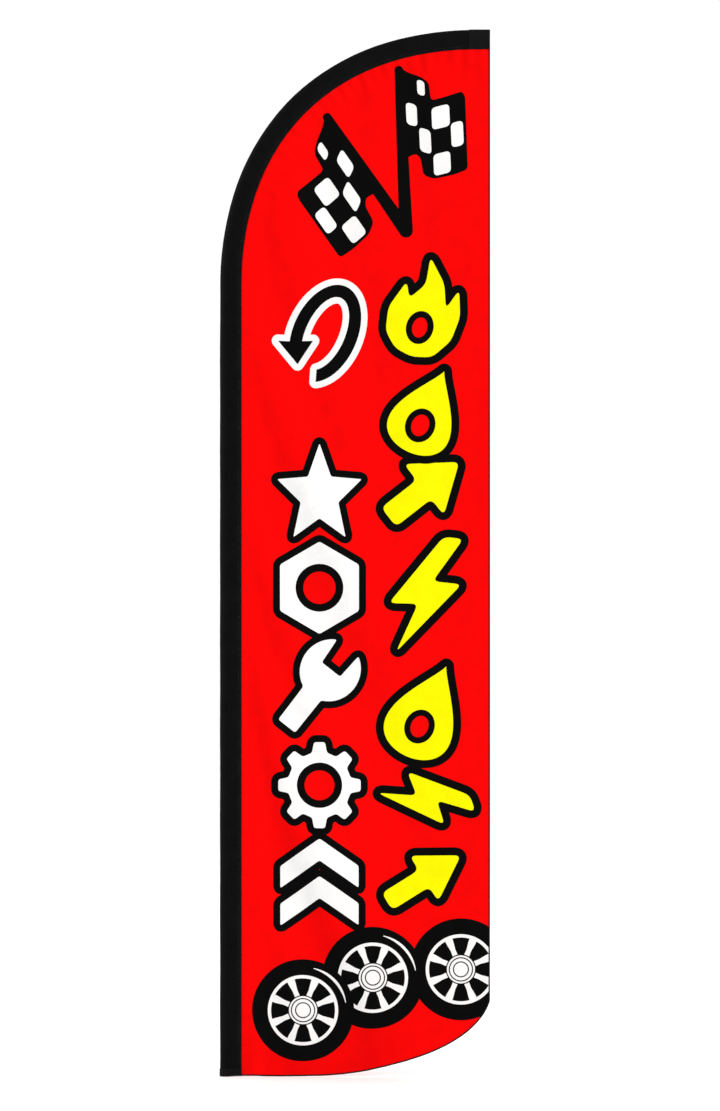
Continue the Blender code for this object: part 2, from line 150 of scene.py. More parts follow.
bow_start = AXIS_TOP - BOW_RISE
bow_run = FLY_X - LEVEL_RUN
upright = [(0, height) for height in np.arange(0, bow_start, UPRIGHT_STEP)]
bow = curve(
    (0, bow_start),
    (0, bow_start + BOW_EASE_UPRIGHT * BOW_RISE),
    (bow_run * (1 - BOW_EASE_LEVEL), AXIS_TOP),
    (bow_run, AXIS_TOP),
    CURVE_POINTS,
)
POLE = Line([*upright, *bow, (FLY_X, AXIS_TOP)], side=1)

hem_run = FLY_X - HEM_FLAT
sweep = curve(
    (HEM_FLAT, 0),
    (HEM_FLAT + HEM_EASE_LEVEL * hem_run, 0),
    (FLY_X - HEM_EASE_CORNER_RUN * hem_run, FLY_CORNER_RISE * (1 - HEM_EASE_CORNER_RISE)),
    (FLY_X, FLY_CORNER_RISE),
    CURVE_POINTS,
)
HEM_TUCK = 3 * MM  # how far the hem tape runs in under the sleeve
HEM_LEVEL_POINT = 0.15  # a point on the hem's level stretch
HEM = Line([(SEAM_END - HEM_TUCK, 0), (HEM_LEVEL_POINT, 0), *sweep], side=-1)
print(f"pole line {POLE.length:.3f} m, hem line {HEM.length:.3f} m")

# %% [markdown]
# ## The studio
#
# A tall flat thing is best seen square on, from far off, through a long lens, so that its edges stay
# parallel. The floor and the sky are both nearly white. Big soft lamps from the upper left and the right
# leave only gentle shading on the folds.

# %% Camera
VIEW_HEIGHT = 3.723
VIEW_CENTRE = Vector((0.4538, 0, 1.744))
CAMERA_DISTANCE = 15.0

camera_data = bpy.data.cameras.new("camera")
camera_data.sensor_fit = "VERTICAL"
camera_data.angle = 2 * atan2(VIEW_HEIGHT / 2, CAMERA_DISTANCE)
camera_data.clip_end = 200
camera = shown("camera", camera_data)
camera.location = VIEW_CENTRE - Vector((0, CAMERA_DISTANCE, 0))
camera.rotation_euler = (pi / 2, 0, 0)
bpy.context.scene.camera = camera
bpy.context.scene.view_settings.view_transform = "Standard"
print("camera", CAMERA_DISTANCE, "m away, looking at", tuple(round(part, 3) for part in VIEW_CENTRE))

# %% [markdown]
# Colours are given as hex codes, as a paint chart has them, and turned into the linear values that shaders
# and lamps take. The key lamp stands far round to the side, so that its light grazes the folds.


# %% Lamps and sky
def tone(code, alpha=1.0):
    """An sRGB hex code as the linear colour that shaders take."""
    channels = [int(code[i : i + 2], 16) / 255 for i in (1, 3, 5)]
    linear = [c / 12.92 if c <= 0.04045 else ((c + 0.055) / 1.055) ** 2.4 for c in channels]
    return (*linear, alpha)


def lamp(name, place, target, size, power, colour):
    """A square soft box that faces its target."""
    data = bpy.data.lights.new(name, "AREA")
    data.shape = "SQUARE"
    data.size = size
    data.energy = power
    data.color = tone(colour)[:3]
    holder = shown(name, data)
    holder.location = place
    holder.rotation_euler = (Vector(target) - Vector(place)).to_track_quat("-Z", "Y").to_euler()


FLAG_MIDDLE = (0.45, 0, 1.7)
SKY_STRENGTH = 1.03
lamp("key_lamp", (-6.8, -2.6, 5.0), FLAG_MIDDLE, 2.2, 460, "#FFFBF5")
lamp("fill_lamp", (5.5, -5.0, 2.2), FLAG_MIDDLE, 3.5, 25, "#F5F9FF")
lamp("back_lamp", (5.0, 4.0, 4.5), FLAG_MIDDLE, 3.0, 240, "#FFFFFF")

sky = bpy.data.worlds.new("studio")
sky.use_nodes = True
sky.node_tree.nodes["Background"].inputs["Color"].default_value = tone("#FFFFFF")
sky.node_tree.nodes["Background"].inputs["Strength"].default_value = SKY_STRENGTH
bpy.context.scene.world = sky
print(len(bpy.data.lights), "lamps")

# %% [markdown]
# ## A helper for materials
#
# Every finish below is a small node tree. One function adds a node with its settings and its links, so
# each finish reads as a list of what its surface has.


# %% Node helper
def add(tree, kind, settings=None, **inputs):
    """Adds a node. Settings are its properties, and inputs are values or the sockets to link from."""
    node = tree.nodes.new(kind)
    for name, value in (settings or {}).items():
        setattr(node, name, value)
    for name, value in inputs.items():
        key = int(name[1:]) if name[0] == "_" else name.replace("_", " ")
        if isinstance(value, bpy.types.NodeSocket):
            tree.links.new(value, node.inputs[key])
        else:
            node.inputs[key].default_value = value
    return node


def blank(name, roughness, metallic=0.0, **sockets):
    """A new material: its tree, its shader and a source of object coordinates."""
    material = bpy.data.materials.new(name)
    material.use_nodes = True
    tree = material.node_tree
    shader = tree.nodes["Principled BSDF"]
    shader.inputs["Roughness"].default_value = roughness
    shader.inputs["Metallic"].default_value = metallic
    for socket, value in sockets.items():
        shader.inputs[socket.replace("_", " ")].default_value = value
    place = add(tree, "ShaderNodeTexCoord").outputs["Object"]
    return material, tree, shader, place


# %% [markdown]
# The floor is matt white emulsion paint, rolled on, so it has no gloss and only a trace of unevenness. It
# is a wide disc, set a millimetre low so that nothing touches it.

# %% The floor
FLOOR_RADIUS, FLOOR_DROP = 60, 1 * MM

floor_finish, tree, shader, place = blank("matt_white_paint", 0.9)
speckle = add(tree, "ShaderNodeTexNoise", Vector=place, Scale=3.0, Detail=3.0)
shades = add(tree, "ShaderNodeMix", {"data_type": "RGBA"}, _0=speckle.outputs["Fac"])
shades.inputs[6].default_value = tone("#FCFCFC")
shades.inputs[7].default_value = tone("#FFFFFF")
tree.links.new(shades.outputs[2], shader.inputs["Base Color"])

floor_form = bmesh.new()
bmesh.ops.create_circle(floor_form, cap_ends=True, radius=FLOOR_RADIUS, segments=64)
floor_mesh = bpy.data.meshes.new("floor")
floor_form.to_mesh(floor_mesh)
floor_form.free()
floor_mesh.transform(Matrix.Translation((0, 0, -FLOOR_DROP)))
floor_mesh.materials.append(floor_finish)
floor = shown("floor", floor_mesh)
floor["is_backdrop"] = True
print("floor", 2 * FLOOR_RADIUS, "m across")

# %% [markdown]
# ## Finishes for the cloth
#
# The panel is knitted polyester, dyed right through by a hot transfer press. Dye on polyester gives deep,
# even colour with a soft, dull face: high roughness, hardly any gloss, and a fine knit. The real knit has a
# pitch of about 0.4 mm, which no full view can show, so it is drawn at 5 mm. The dye goes through to the
# back a shade paler, so each ink has a front and a back finish.

# %% Knitted polyester in four inks
KNIT_PITCH = 5 * MM  # really 0.4 mm, drawn coarser so that it shows
WEAVE_PITCH = 4 * MM  # really 0.5 mm, drawn coarser
TAPE_PITCH, WEBBING_PITCH = 2 * MM, 3 * MM  # both drawn coarser than real ones
WAVE_FACTOR = 20  # the wave texture multiplies its coordinate by this


def knit_height(tree, place, pitch):
    """Rows of loops: waves up and across the cloth, broken up by a little unevenness in the yarn."""
    drift = add(tree, "ShaderNodeTexNoise", Vector=place, Scale=1 / (12 * pitch), Detail=2.0)
    scale = 2 * pi / (WAVE_FACTOR * pitch)
    rows, wales = [
        add(
            tree,
            "ShaderNodeTexWave",
            {"bands_direction": direction},
            Vector=place,
            Scale=scale,
            Distortion=0.6,
            Detail=1.0,
        ).outputs["Fac"]
        for direction in "ZX"
    ]
    loops = add(tree, "ShaderNodeMath", {"operation": "MULTIPLY"}, _0=rows, _1=wales)
    height = add(
        tree,
        "ShaderNodeMath",
        {"operation": "MULTIPLY_ADD"},
        _0=drift.outputs["Fac"],
        _1=0.5,
        _2=loops.outputs[0],
    )
    return height.outputs[0]


def cloth(name, light, dark, roughness, sheen, pitch, relief, mottle=60 * MM):
    """A woven or knitted finish: two close tones, mottled by uneven dye, and painted shade in the raised
    thread pattern's hollows.
    """
    material, tree, shader, place = blank(name, roughness, Sheen_Weight=sheen, Sheen_Roughness=0.45)
    shader.inputs["Specular IOR Level"].default_value = 0.05
    height = knit_height(tree, place, pitch)
    uneven = add(tree, "ShaderNodeTexNoise", Vector=place, Scale=1 / mottle, Detail=4.0, Roughness=0.6)
    # The tone follows uneven dye and, partly, the thread pattern's height, so the hollows between loops are
    # darker: painted shade.
    blend = add(
        tree, "ShaderNodeMath", {"operation": "MULTIPLY_ADD"}, _0=height, _1=0.35, _2=uneven.outputs["Fac"]
    )
    spread = add(tree, "ShaderNodeMapRange", _0=blend.outputs[0], _1=0.35, _2=1.0)
    tint = add(tree, "ShaderNodeMix", {"data_type": "RGBA"}, _0=spread.outputs[0])
    tint.inputs[6].default_value = tone(dark)
    tint.inputs[7].default_value = tone(light)
    tree.links.new(tint.outputs[2], shader.inputs["Base Color"])
    bump = add(tree, "ShaderNodeBump", Height=height, Strength=relief, Distance=0.4 * MM)
    tree.links.new(bump.outputs["Normal"], shader.inputs["Normal"])
    return material


INKS = ("red", "black", "white", "yellow")
FRONT_TONES = {
    "red": ("#E00000", "#D40000"),
    "black": ("#040404", "#020202"),
    "white": ("#E2E2E2", "#D8D8D8"),
    "yellow": ("#E2E000", "#D8D400"),
}
BACK_TONES = {
    "red": ("#DA1210", "#CC0A0A"),
    "black": ("#161617", "#101011"),
    "white": ("#DCDBDA", "#D2D1D0"),
    "yellow": ("#DAD422", "#D0C81A"),
}
# Dyed polyester knit, heat pressed: deep flat colour in front, and the same ink a shade paler behind.
front_inks = [
    cloth(f"polyester_knit_{ink}_ink", *FRONT_TONES[ink], 0.85, 0.0, KNIT_PITCH, 0.35) for ink in INKS
]
back_inks = [
    cloth(f"polyester_knit_{ink}_back", *BACK_TONES[ink], 0.86, 0.02, KNIT_PITCH, 0.35) for ink in INKS
]
# Nylon Oxford, plain woven and dyed black: dense and dull, with a weave that just catches the light.
oxford = cloth("black_oxford_weave", "#0A0A0B", "#030303", 0.70, 0.01, WEAVE_PITCH, 0.5)
# Polyester tape, woven narrow and dyed black: the dullest of the trims, with a close weave.
tape = cloth("black_binding_tape", "#0C0C0D", "#060606", 0.75, 0.01, TAPE_PITCH, 0.5)
# Nylon webbing, woven thick and dyed black: coarse ribs, and smoother yarn that shines a little more.
webbing = cloth("black_nylon_webbing", "#101011", "#070707", 0.60, 0.02, WEBBING_PITCH, 0.9)
print(len(front_inks) + len(back_inks), "ink finishes and 3 trims")

# %% [markdown]
# ## How the cloth hangs
#
# The panel is sewn to the sleeve up the left and over the top, and hangs free at the fly and the hem. A
# cloth simulation finds its folds: a coarse sheet a shade larger than its seams lets it, pinned along the
# seam and left to hang. Only the in-and-out movement is kept, so the outline stays the one that was cut.
# Close to the seam the stitching gathers the cloth, and short puckers run out from it.

# %% A coarse sheet for the simulation
SIM_PITCH = 30 * MM
FOLD_LIMIT = 17 * MM
EASE_IN_CLOTH = 0.006  # how much larger the cloth is than its seams
SIM_FRAMES = 60
START_RIPPLE = 1.5 * MM  # a first unevenness, so that the sheet has a way to fold
GRID_X = np.arange(0, FLY_X + 3 * SIM_PITCH, SIM_PITCH)
GRID_Z = np.arange(-SIM_PITCH, AXIS_TOP + 3 * SIM_PITCH, SIM_PITCH)


def hem_height(x):
    """How high the bottom edge is at each distance from the pole."""
    return np.interp(x, HEM.points[:, 0], HEM.points[:, 1])


def hanging_grid():
    """A coarse sheet inside the flag's outline, with the points along the seam held still."""
    x, z = np.meshgrid(GRID_X, GRID_Z, indexing="ij")
    flat = np.column_stack([x.ravel(), z.ravel()])
    inward = POLE.beside(flat)[1]
    inside = (inward > SEAM_END - SIM_PITCH) & (flat[:, 0] < FLY_X) & (flat[:, 1] > hem_height(flat[:, 0]))
    kept = np.flatnonzero(inside)
    index = -np.ones(len(flat), int)
    index[kept] = np.arange(len(kept))
    index = index.reshape(x.shape)
    quads = np.stack([index[:-1, :-1], index[1:, :-1], index[1:, 1:], index[:-1, 1:]], -1).reshape(-1, 4)
    quads = quads[(quads >= 0).all(1)]
    start = START_RIPPLE * np.sin(flat[kept, 0] * 23 + 1.3 * np.sin(flat[kept, 1] * 5))
    places = np.column_stack([flat[kept, 0], start, flat[kept, 1]])
    mesh = bpy.data.meshes.new("hanging_grid")
    mesh.from_pydata(places.tolist(), [], quads.tolist())
    grid = shown("hanging_grid", mesh)
    held = grid.vertex_groups.new(name="held")
    pinned = np.flatnonzero(inward[kept] < SEAM_END + 5 * MM)
    held.add([int(i) for i in pinned], 1.0, "REPLACE")
    return grid, kept


print("grid of", len(GRID_X), "by", len(GRID_Z), "points to hang")

# %% [markdown]
# The sheet hangs under its own weight. Where the grid has no cloth, its neighbours' values are spread out,
# so that the folds run on past the edges.


# %% Hang the sheet
def simulated_folds():
    """Hangs the sheet under its own weight and reads how far each point of the grid moved in or out."""
    grid, kept = hanging_grid()
    drape = grid.modifiers.new("drape", "CLOTH")
    settings = drape.settings
    settings.vertex_group_mass = "held"
    settings.quality = 6
    settings.mass = 0.05
    settings.tension_stiffness = 60
    settings.compression_stiffness = 12
    settings.shear_stiffness = 12
    settings.bending_stiffness = 0.6
    settings.air_damping = 4
    settings.shrink_min = -EASE_IN_CLOTH
    drape.collision_settings.use_collision = False
    drape.point_cache.frame_end = SIM_FRAMES
    for step in range(1, SIM_FRAMES + 1):
        bpy.context.scene.frame_set(step)
    settled = grid.evaluated_get(bpy.context.evaluated_depsgraph_get()).to_mesh()
    moved = np.array([corner.co.y for corner in settled.vertices])
    bpy.context.scene.frame_set(1)
    bpy.data.objects.remove(grid)
    folds = np.full(len(GRID_X) * len(GRID_Z), np.nan)
    folds[kept] = moved
    return folds.reshape(len(GRID_X), len(GRID_Z))


def spread_outwards(field):
    """Fills the grid's empty places from their neighbours, so the folds run past the edges."""
    field = field.copy()
    while np.isnan(field).any():
        padded = np.pad(field, 1, constant_values=np.nan)
        around = np.stack([padded[:-2, 1:-1], padded[2:, 1:-1], padded[1:-1, :-2], padded[1:-1, 2:]])
        known = ~np.isnan(around)
        total = np.where(known, around, 0).sum(0)
        count = known.sum(0)
        fill = np.isnan(field) & (count > 0)
        field[fill] = total[fill] / count[fill]
    return field


raw_folds = simulated_folds()
known = raw_folds[~np.isnan(raw_folds)]
FOLDS = spread_outwards(raw_folds)
print(f"folds from {known.min() / MM:.1f} to {known.max() / MM:.1f} mm before they are limited")

# %% [markdown]
# The folds are read between the grid's points with a cubic B-spline, which is smooth enough to shade
# without facets. Every cloth piece below asks the same function how far it stands in or out, so the panel,
# the bindings and the stitches stay together.

# %% One function for every cloth piece
FOLD_SHARE = 0.75
PUCKER = 1.1 * MM
FREE_RAMP = 90 * MM
PUCKER_SHORT, PUCKER_LONG = 0.047, 0.081  # from pucker to pucker, along the seam
HEM_WAVE, HEM_WAVE_LENGTH = 0.8 * MM, 0.07
FLY_WAVE, FLY_WAVE_LENGTH = 1.2 * MM, 0.16


def spline_weights(t):
    """The shares of four neighbouring points in a cubic B-spline."""
    return [
        (1 - t) ** 3 / 6,
        (3 * t**3 - 6 * t**2 + 4) / 6,
        (-3 * t**3 + 3 * t**2 + 3 * t + 1) / 6,
        t**3 / 6,
    ]


def fold_at(x, z):
    """The simulated movement at any place, limited so that the folds stay shallow."""
    u = np.clip((x - GRID_X[0]) / SIM_PITCH, 1, len(GRID_X) - 3)
    v = np.clip((z - GRID_Z[0]) / SIM_PITCH, 1, len(GRID_Z) - 3)
    i, j = np.floor(u).astype(int), np.floor(v).astype(int)
    across, up = spline_weights(u - i), spline_weights(v - j)
    height = sum(across[a] * up[b] * FOLDS[i + a - 1, j + b - 1] for a in range(4) for b in range(4))
    return FOLD_LIMIT * np.tanh(height * FOLD_SHARE / FOLD_LIMIT)


def ramp(value, start, end):
    """Rises smoothly from 0 at start to 1 at end."""
    t = np.clip((value - start) / (end - start), 0, 1)
    return t * t * (3 - 2 * t)


def sway(x, z):
    """How far the cloth stands along +Y at each place: broad folds, and puckers beside the seam."""
    x, z = np.asarray(x, float), np.asarray(z, float)
    reach, inward = POLE.beside(np.column_stack([x, z]))
    broad = fold_at(x, z) * ramp(inward, SEAM_END, SEAM_END + FREE_RAMP)
    ripples = np.sin(reach * 2 * pi / PUCKER_SHORT + 1.1 * np.sin(reach * 9))
    ripples = ripples + 0.6 * np.sin(reach * 2 * pi / PUCKER_LONG)
    strength = 1 + 0.8 * ramp(reach, bow_start, bow_start + 0.3)
    near_seam = ramp(inward, 35 * MM, 60 * MM) * (1 - ramp(inward, 65 * MM, 150 * MM))
    hem_away = z - hem_height(x)
    hem_waves = HEM_WAVE * np.sin(x * 2 * pi / HEM_WAVE_LENGTH) * (1 - ramp(hem_away, 0, 90 * MM))
    hem_waves = hem_waves * ramp(x, 0.07, 0.15)
    fly_away = FLY_X - x
    fly_waves = FLY_WAVE * np.sin(z * 2 * pi / FLY_WAVE_LENGTH + 2 * np.sin(z * 3))
    fly_waves = fly_waves * (1 - ramp(fly_away, 0, 120 * MM))
    fly_waves *= ramp(inward, SEAM_END, SEAM_END + 150 * MM)
    return broad + PUCKER * strength * ripples * near_seam + hem_waves + fly_waves


# %% [markdown]
# ## Drawing the print
#
# The print is drawn with plain shapes, in millimetres from the pole's axis and the hem: crossed chequered
# flags at the top, a column of white workshop signs, a column of yellow signs, a turning arrow, and three
# wheels at the foot. None of it is lettering. Each shape is a closed outline with its ink, and may
# have a border in another ink. Later shapes cover earlier ones, as they do in a drawing program.

# %% Shapes and inks
RED, BLACK, WHITE, YELLOW = range(4)
PRINT = []


def draw(outline, ink, border=0.0, border_ink=BLACK):
    """Adds an outline, in millimetres, to the print."""
    PRINT.append((np.array(outline, float) * MM, ink, border * MM, border_ink))


def ellipse(x, z, across, up=None, count=72, tilt=0.0):
    """A closed oval, or a circle when only one radius is given."""
    angles = np.arange(count) * 2 * pi / count
    oval = np.column_stack([across * np.cos(angles), (up or across) * np.sin(angles)])
    return turned_by(oval, tilt) + (x, z)


def arc(radius, start, end, count):
    """Points on a circle between two angles in degrees."""
    angles = np.radians(np.linspace(start, end, count))
    return np.column_stack([radius * np.cos(angles), radius * np.sin(angles)])


def turned_by(points, degrees):
    """Points turned anticlockwise about the origin."""
    c, s = cos(radians(degrees)), sin(radians(degrees))
    return np.array(points, float) @ np.array([[c, s], [-s, c]])


def soften(points, radius, steps=4):
    """Rounds an outline's corners."""
    points = [np.array(point, float) for point in points]
    result = []
    for before, corner, after in zip(points[-1:] + points[:-1], points, points[1:] + points[:1]):
        back, on = before - corner, after - corner
        cut = min(radius, 0.45 * hypot(*back), 0.45 * hypot(*on))
        start, end = corner + back / hypot(*back) * cut, corner + on / hypot(*on) * cut
        for step in range(steps + 1):
            t = step / steps
            result.append((1 - t) ** 2 * start + 2 * t * (1 - t) * corner + t**2 * end)
    return np.array(result)


def fitted(points, x, z, across, up, tilt=0.0):
    """Scales a motif drawn in a box of side 1 to its place in a column."""
    return turned_by(np.array(points) * (across, up), tilt) + (x, z)


def rod_shape(start, end, start_radius, end_radius):
    """A tapered bar with round ends."""
    start, end = np.array(start, float), np.array(end, float)
    heading = atan2(*(end - start)[::-1])
    outline = []
    for centre, radius, turn in ((start, start_radius, pi / 2), (end, end_radius, -pi / 2)):
        for step in range(13):
            angle = heading + turn + pi * step / 12
            outline.append(centre + radius * np.array([cos(angle), sin(angle)]))
    return outline


# %% [markdown]
# One waving flag is drawn once, by how far each point lies down the staff and out from it. The cloth
# turns over a fold a third of the way out, so its cells are narrow near the staff. The left flag is the
# same drawing laid along the other staff, let down a little further at its fly.

# %% Crossed chequered flags
STAFF_FOOT = np.array((608, 2832), float)
FLAG_EDGE = [(-9, 4), (9, 30), (27, 76), (46, 98), (106, 103), (95, 152), (80, 208), (97, 218), (342, 216)]
FLAG_EDGE += [(358, 168), (369, 100), (354, 66), (298, 60), (282, 44), (290, 24), (300, 6)]
FLAG_CELLS = (  # down the staff, out from it, width, height, lean
    (62, 71, 25, 50, 0.35),
    (150, 36, 36, 74, 0.30),
    (162, 133, 60, 74, -0.20),
    (240, 78, 38, 80, 0.35),
    (222, 186, 41, 82, -0.20),
    (318, 131, 57, 72, -0.20),
)


def chequered_flag(tip, outward, droop, stretch):
    """A flag on a staff from tip to the shared foot. outward is 1 to the right and -1 to the left."""
    tip = np.array(tip, float)
    down = (STAFF_FOOT - tip) / hypot(*(STAFF_FOOT - tip))
    out = outward * np.array((-down[1], down[0]))

    def place(along, away):
        return tip + down * (along + droop * away) + out * away * stretch

    draw(rod_shape(tip, STAFF_FOOT, 15, 23), BLACK)
    draw(soften([place(*point) for point in FLAG_EDGE], 14), BLACK)
    for along, away, width, height, lean in FLAG_CELLS:
        corners = ((-1, -1), (-1, 1), (1, 1), (1, -1))
        cell = [
            place(along + v * height / 2 + lean * u * width / 2, away + u * width / 2) for v, u in corners
        ]
        draw(soften(cell, 15), WHITE)


chequered_flag((344, 3212), -1, 0.32, 1.08)
chequered_flag((584, 3370), 1, 0.0, 1.0)
print(len(PRINT), "shapes after the flags")

# %% [markdown]
# The two columns are simple signs in boxes of side 1, stretched to their places. Each has a black border.

# %% Signs for the two columns
def spread_round(radii, turns, count):
    """Points round a centre: each radius at its turn, repeated count times."""
    return [
        (size * sin(2 * pi * (step + turn) / count), size * cos(2 * pi * (step + turn) / count))
        for step in range(count)
        for size, turn in zip(radii, turns)
    ]


star = spread_round((0.54, 0.24), (0, 0.5), 5)
hexagon = spread_round((0.53,), (0,), 6)
cog = spread_round((0.40, 0.52, 0.52, 0.40), (-0.30, -0.17, 0.17, 0.30), 8)
chevron = [(-0.5, -0.12), (0, 0.30), (0.5, -0.12), (0.5, -0.46), (0, -0.04), (-0.5, -0.46)]
spanner = [(-0.11, -0.5), (0.11, -0.5), *(arc(0.31, -68, 63, 12) + (0, 0.19)), (0.12, 0.20)]
spanner += [(-0.12, 0.20), *(arc(0.31, 117, 248, 12) + (0, 0.19))]
bolt = [(0.16, 0.5), (-0.46, -0.10), (-0.08, -0.08), (-0.30, -0.5), (0.46, 0.12), (0.08, 0.12), (0.42, 0.5)]
pointer = [(-0.5, -0.17), (0.0, -0.17), (0.0, -0.46), (0.5, 0.0), (0.0, 0.46), (0.0, 0.17), (-0.5, 0.17)]
flame = [(0, -0.5), (0.26, -0.45), (0.44, -0.24), (0.47, 0.02), (0.36, 0.28), (0.26, 0.06), (0.15, 0.30)]
flame += [(-0.12, 0.52), (-0.08, 0.24), (-0.24, 0.06), (-0.33, 0.22)]
flame += [(-0.47, -0.08), (-0.42, -0.32), (-0.24, -0.46)]
drop = [(0.62 * sin(t) * sin(t / 2) ** 1.5, 0.5 * cos(t)) for t in np.linspace(0, 2 * pi, 37)[:-1]]
print("the cog has", len(cog), "corners and the star", len(star))

# %% [markdown]
# From the foot up: two chevrons, a cog, an open spanner, a hex nut and a star. A window is a black oval
# with a smaller red one on it, so the ground seems to show through with a border of its own.

# %% The white column
WHITE_X, WHITE_BORDER = 318, 24


def white(sign, x, z, across, up, tilt=0.0, corner=8):
    """One white sign."""
    draw(soften(fitted(sign, x, z, across, up, tilt), corner), WHITE, WHITE_BORDER)


def window(x, z, rim, hole, tilt=0.0):
    """A window through a sign. rim and hole are the half sizes of its two ovals."""
    draw(ellipse(x, z, *rim, tilt=tilt), BLACK)
    draw(ellipse(x, z, *hole, tilt=tilt), RED)


for lift in (0, 126):
    white(chevron, WHITE_X, 604 + lift, 262, 216, corner=7)
white(cog, WHITE_X, 974, 268, 280)
window(WHITE_X, 974, (76,), (50,))
white(spanner, WHITE_X - 4, 1308, 324, 344, -38)
white(hexagon, WHITE_X, 1636, 288, 292)
window(WHITE_X, 1636, (80,), (54,))
white(star, WHITE_X, 1946, 276, 322, corner=7)
print(len(PRINT), "shapes after the white column")

# %% [markdown]
# From the foot up: an arrow, a bolt, a drop, a bolt, an arrow, a drop and a flame. They lean, and have
# rounder corners and a slightly wider border than the white ones.

# %% The yellow column
YELLOW_X, YELLOW_BORDER, YELLOW_CORNER = 672, 27, 22


def yellow(sign, x, z, across, up, tilt):
    """One yellow sign, with soft corners."""
    draw(soften(fitted(sign, x, z, across, up, tilt), YELLOW_CORNER), YELLOW, YELLOW_BORDER)


def oil_drop(x, z, across, up, tilt):
    """A drop with a window through it."""
    yellow(drop, x, z, across, up, tilt)
    centre = turned_by([(0, -0.17 * up)], tilt)[0] + (x, z)
    window(*centre, (50, 58), (29, 37), tilt)


yellow(pointer, YELLOW_X - 4, 662, 292, 196, 32)
yellow(bolt, YELLOW_X, 930, 226, 292, -72)
oil_drop(YELLOW_X + 4, 1222, 268, 330, -24)
yellow(bolt, YELLOW_X, 1612, 256, 400, -6)
yellow(pointer, YELLOW_X - 4, 1965, 300, 236, 38)
oil_drop(YELLOW_X + 4, 2226, 250, 296, -24)
yellow(flame, YELLOW_X, 2570, 256, 332, -16)
window(YELLOW_X - 18, 2508, (46, 56), (25, 34), -16)
print(len(PRINT), "shapes after the yellow column")

# %% [markdown]
# The turning arrow is a bent band: its outer and inner edges are arcs of two ovals, and its head is a
# triangle set across the end. It is black with a wide white border.

# %% The turning arrow
ARROW_PLACE, ARROW_TILT = (337, 2488), -24
sweep_angles = np.radians(np.linspace(-70, 205, 44))
outer_edge = [(108 * cos(a), 172 * sin(a)) for a in sweep_angles]
inner_edge = [(66 * cos(a), 130 * sin(a)) for a in sweep_angles[::-1]]
last = sweep_angles[-1]
head = [
    (148 * cos(last), 205 * sin(last)),
    (86 * cos(last + 0.62), 152 * sin(last + 0.62)),
    (30 * cos(last), 92 * sin(last)),
]
arrow = turned_by(outer_edge + head + inner_edge, ARROW_TILT) + ARROW_PLACE
ARROW_BORDER = 21
draw(arrow, BLACK, ARROW_BORDER, WHITE)
print("turning arrow of", len(arrow), "corners")

# %% [markdown]
# Each wheel is a tyre, a white rim ring, eight spokes that widen outwards and a hub with two thin rings.
# The far wheel is drawn first, so that the nearer tyres overlap it.

# %% Three wheels
TYRE, RIM_OUTER, RIM_INNER, HUB = 171, 118, 107, 47
HUB_RINGS = ((HUB + 4, BLACK), (HUB, WHITE), (41, BLACK), (37, WHITE), (27, BLACK), (23, WHITE))
SPOKES = 8
HALF_STEP = 180 / SPOKES  # turns a wheel by half the angle between its spokes
SHINE_RADIUS, SHINE_WIDTH, SHINE_POINTS = 145, 4.5, 24


def wheel(x, z, turn, shine=True):
    """A wheel seen square on. shine adds the thin white gleam on the tyre's shoulder."""
    draw(ellipse(x, z, TYRE, count=108), BLACK)
    draw(ellipse(x, z, RIM_OUTER, count=96), WHITE)
    draw(ellipse(x, z, RIM_INNER, count=96), BLACK)
    spoke = [(HUB - 6, -9), (HUB + 22, -8), (RIM_INNER - 12, -12), (RIM_INNER + 4, -13)]
    spoke += [(RIM_INNER + 4, 13), (RIM_INNER - 12, 12), (HUB + 22, 8), (HUB - 6, 9)]
    for step in range(SPOKES):
        draw(turned_by(spoke, turn + 360 * step / SPOKES) + (x, z), WHITE)
    for radius, ink in HUB_RINGS:
        draw(ellipse(x, z, radius, count=48), ink)
    if shine:
        angles = np.linspace(radians(10), radians(76), SHINE_POINTS)
        width = SHINE_WIDTH * np.sin(np.linspace(0.25, pi - 0.25, SHINE_POINTS))
        far, close = [
            [(r * cos(a) + x, r * sin(a) + z) for a, r in zip(angles, SHINE_RADIUS + half)]
            for half in (width, -width)
        ]
        draw(far + close[::-1], WHITE)


wheel(792, 357, HALF_STEP, shine=False)
wheel(497, 328, HALF_STEP)
wheel(263, 221, HALF_STEP)
print(len(PRINT), "shapes in the print")

# %% [markdown]
# ## From drawing to cloth
#
# The outlines become edges of the cloth's own mesh, so the print is as crisp close up as from afar and
# needs no picture. A constrained triangulation joins them with a lattice of points that is fine enough to
# follow the folds. Each triangle then asks which shape covers its middle, and takes that shape's ink.

# %% Build the panel
LATTICE = 11 * MM
CLOTH_THICKNESS = 0.4 * MM
EDGE_INSET = 1.0 * MM
CLEARANCE = 3.5 * MM  # how near a lattice point may come to an outline
PANEL_HIDDEN_EDGE = SEAM_START + 3 * MM


def divided(points, spacing):
    """A closed outline with its long sides split."""
    result = []
    for start, end in zip(points, np.roll(points, -1, axis=0)):
        pieces = max(1, int(np.ceil(hypot(*(end - start)) / spacing)))
        result += [start + (end - start) * step / pieces for step in range(pieces)]
    return np.array(result)


def inside(points, outline):
    """Which points lie inside a closed outline."""
    x, z = points[:, :1], points[:, 1:]
    x0, z0 = outline.T
    x1, z1 = np.roll(outline, -1, axis=0).T
    crosses = (z0 > z) != (z1 > z)
    rise = np.where(z1 == z0, 1e-12, z1 - z0)
    return (crosses & (x < (x1 - x0) * (z - z0) / rise + x0)).sum(1) % 2 == 1


def distance_to(points, outline):
    """How far points lie from a closed outline."""
    start, run = outline, np.roll(outline, -1, axis=0) - outline
    away = points[:, None] - start
    share = np.clip((away * run).sum(2) / np.maximum((run**2).sum(1), 1e-15), 0, 1)
    return np.hypot(*np.moveaxis(away - share[..., None] * run, 2, 0)).min(1)


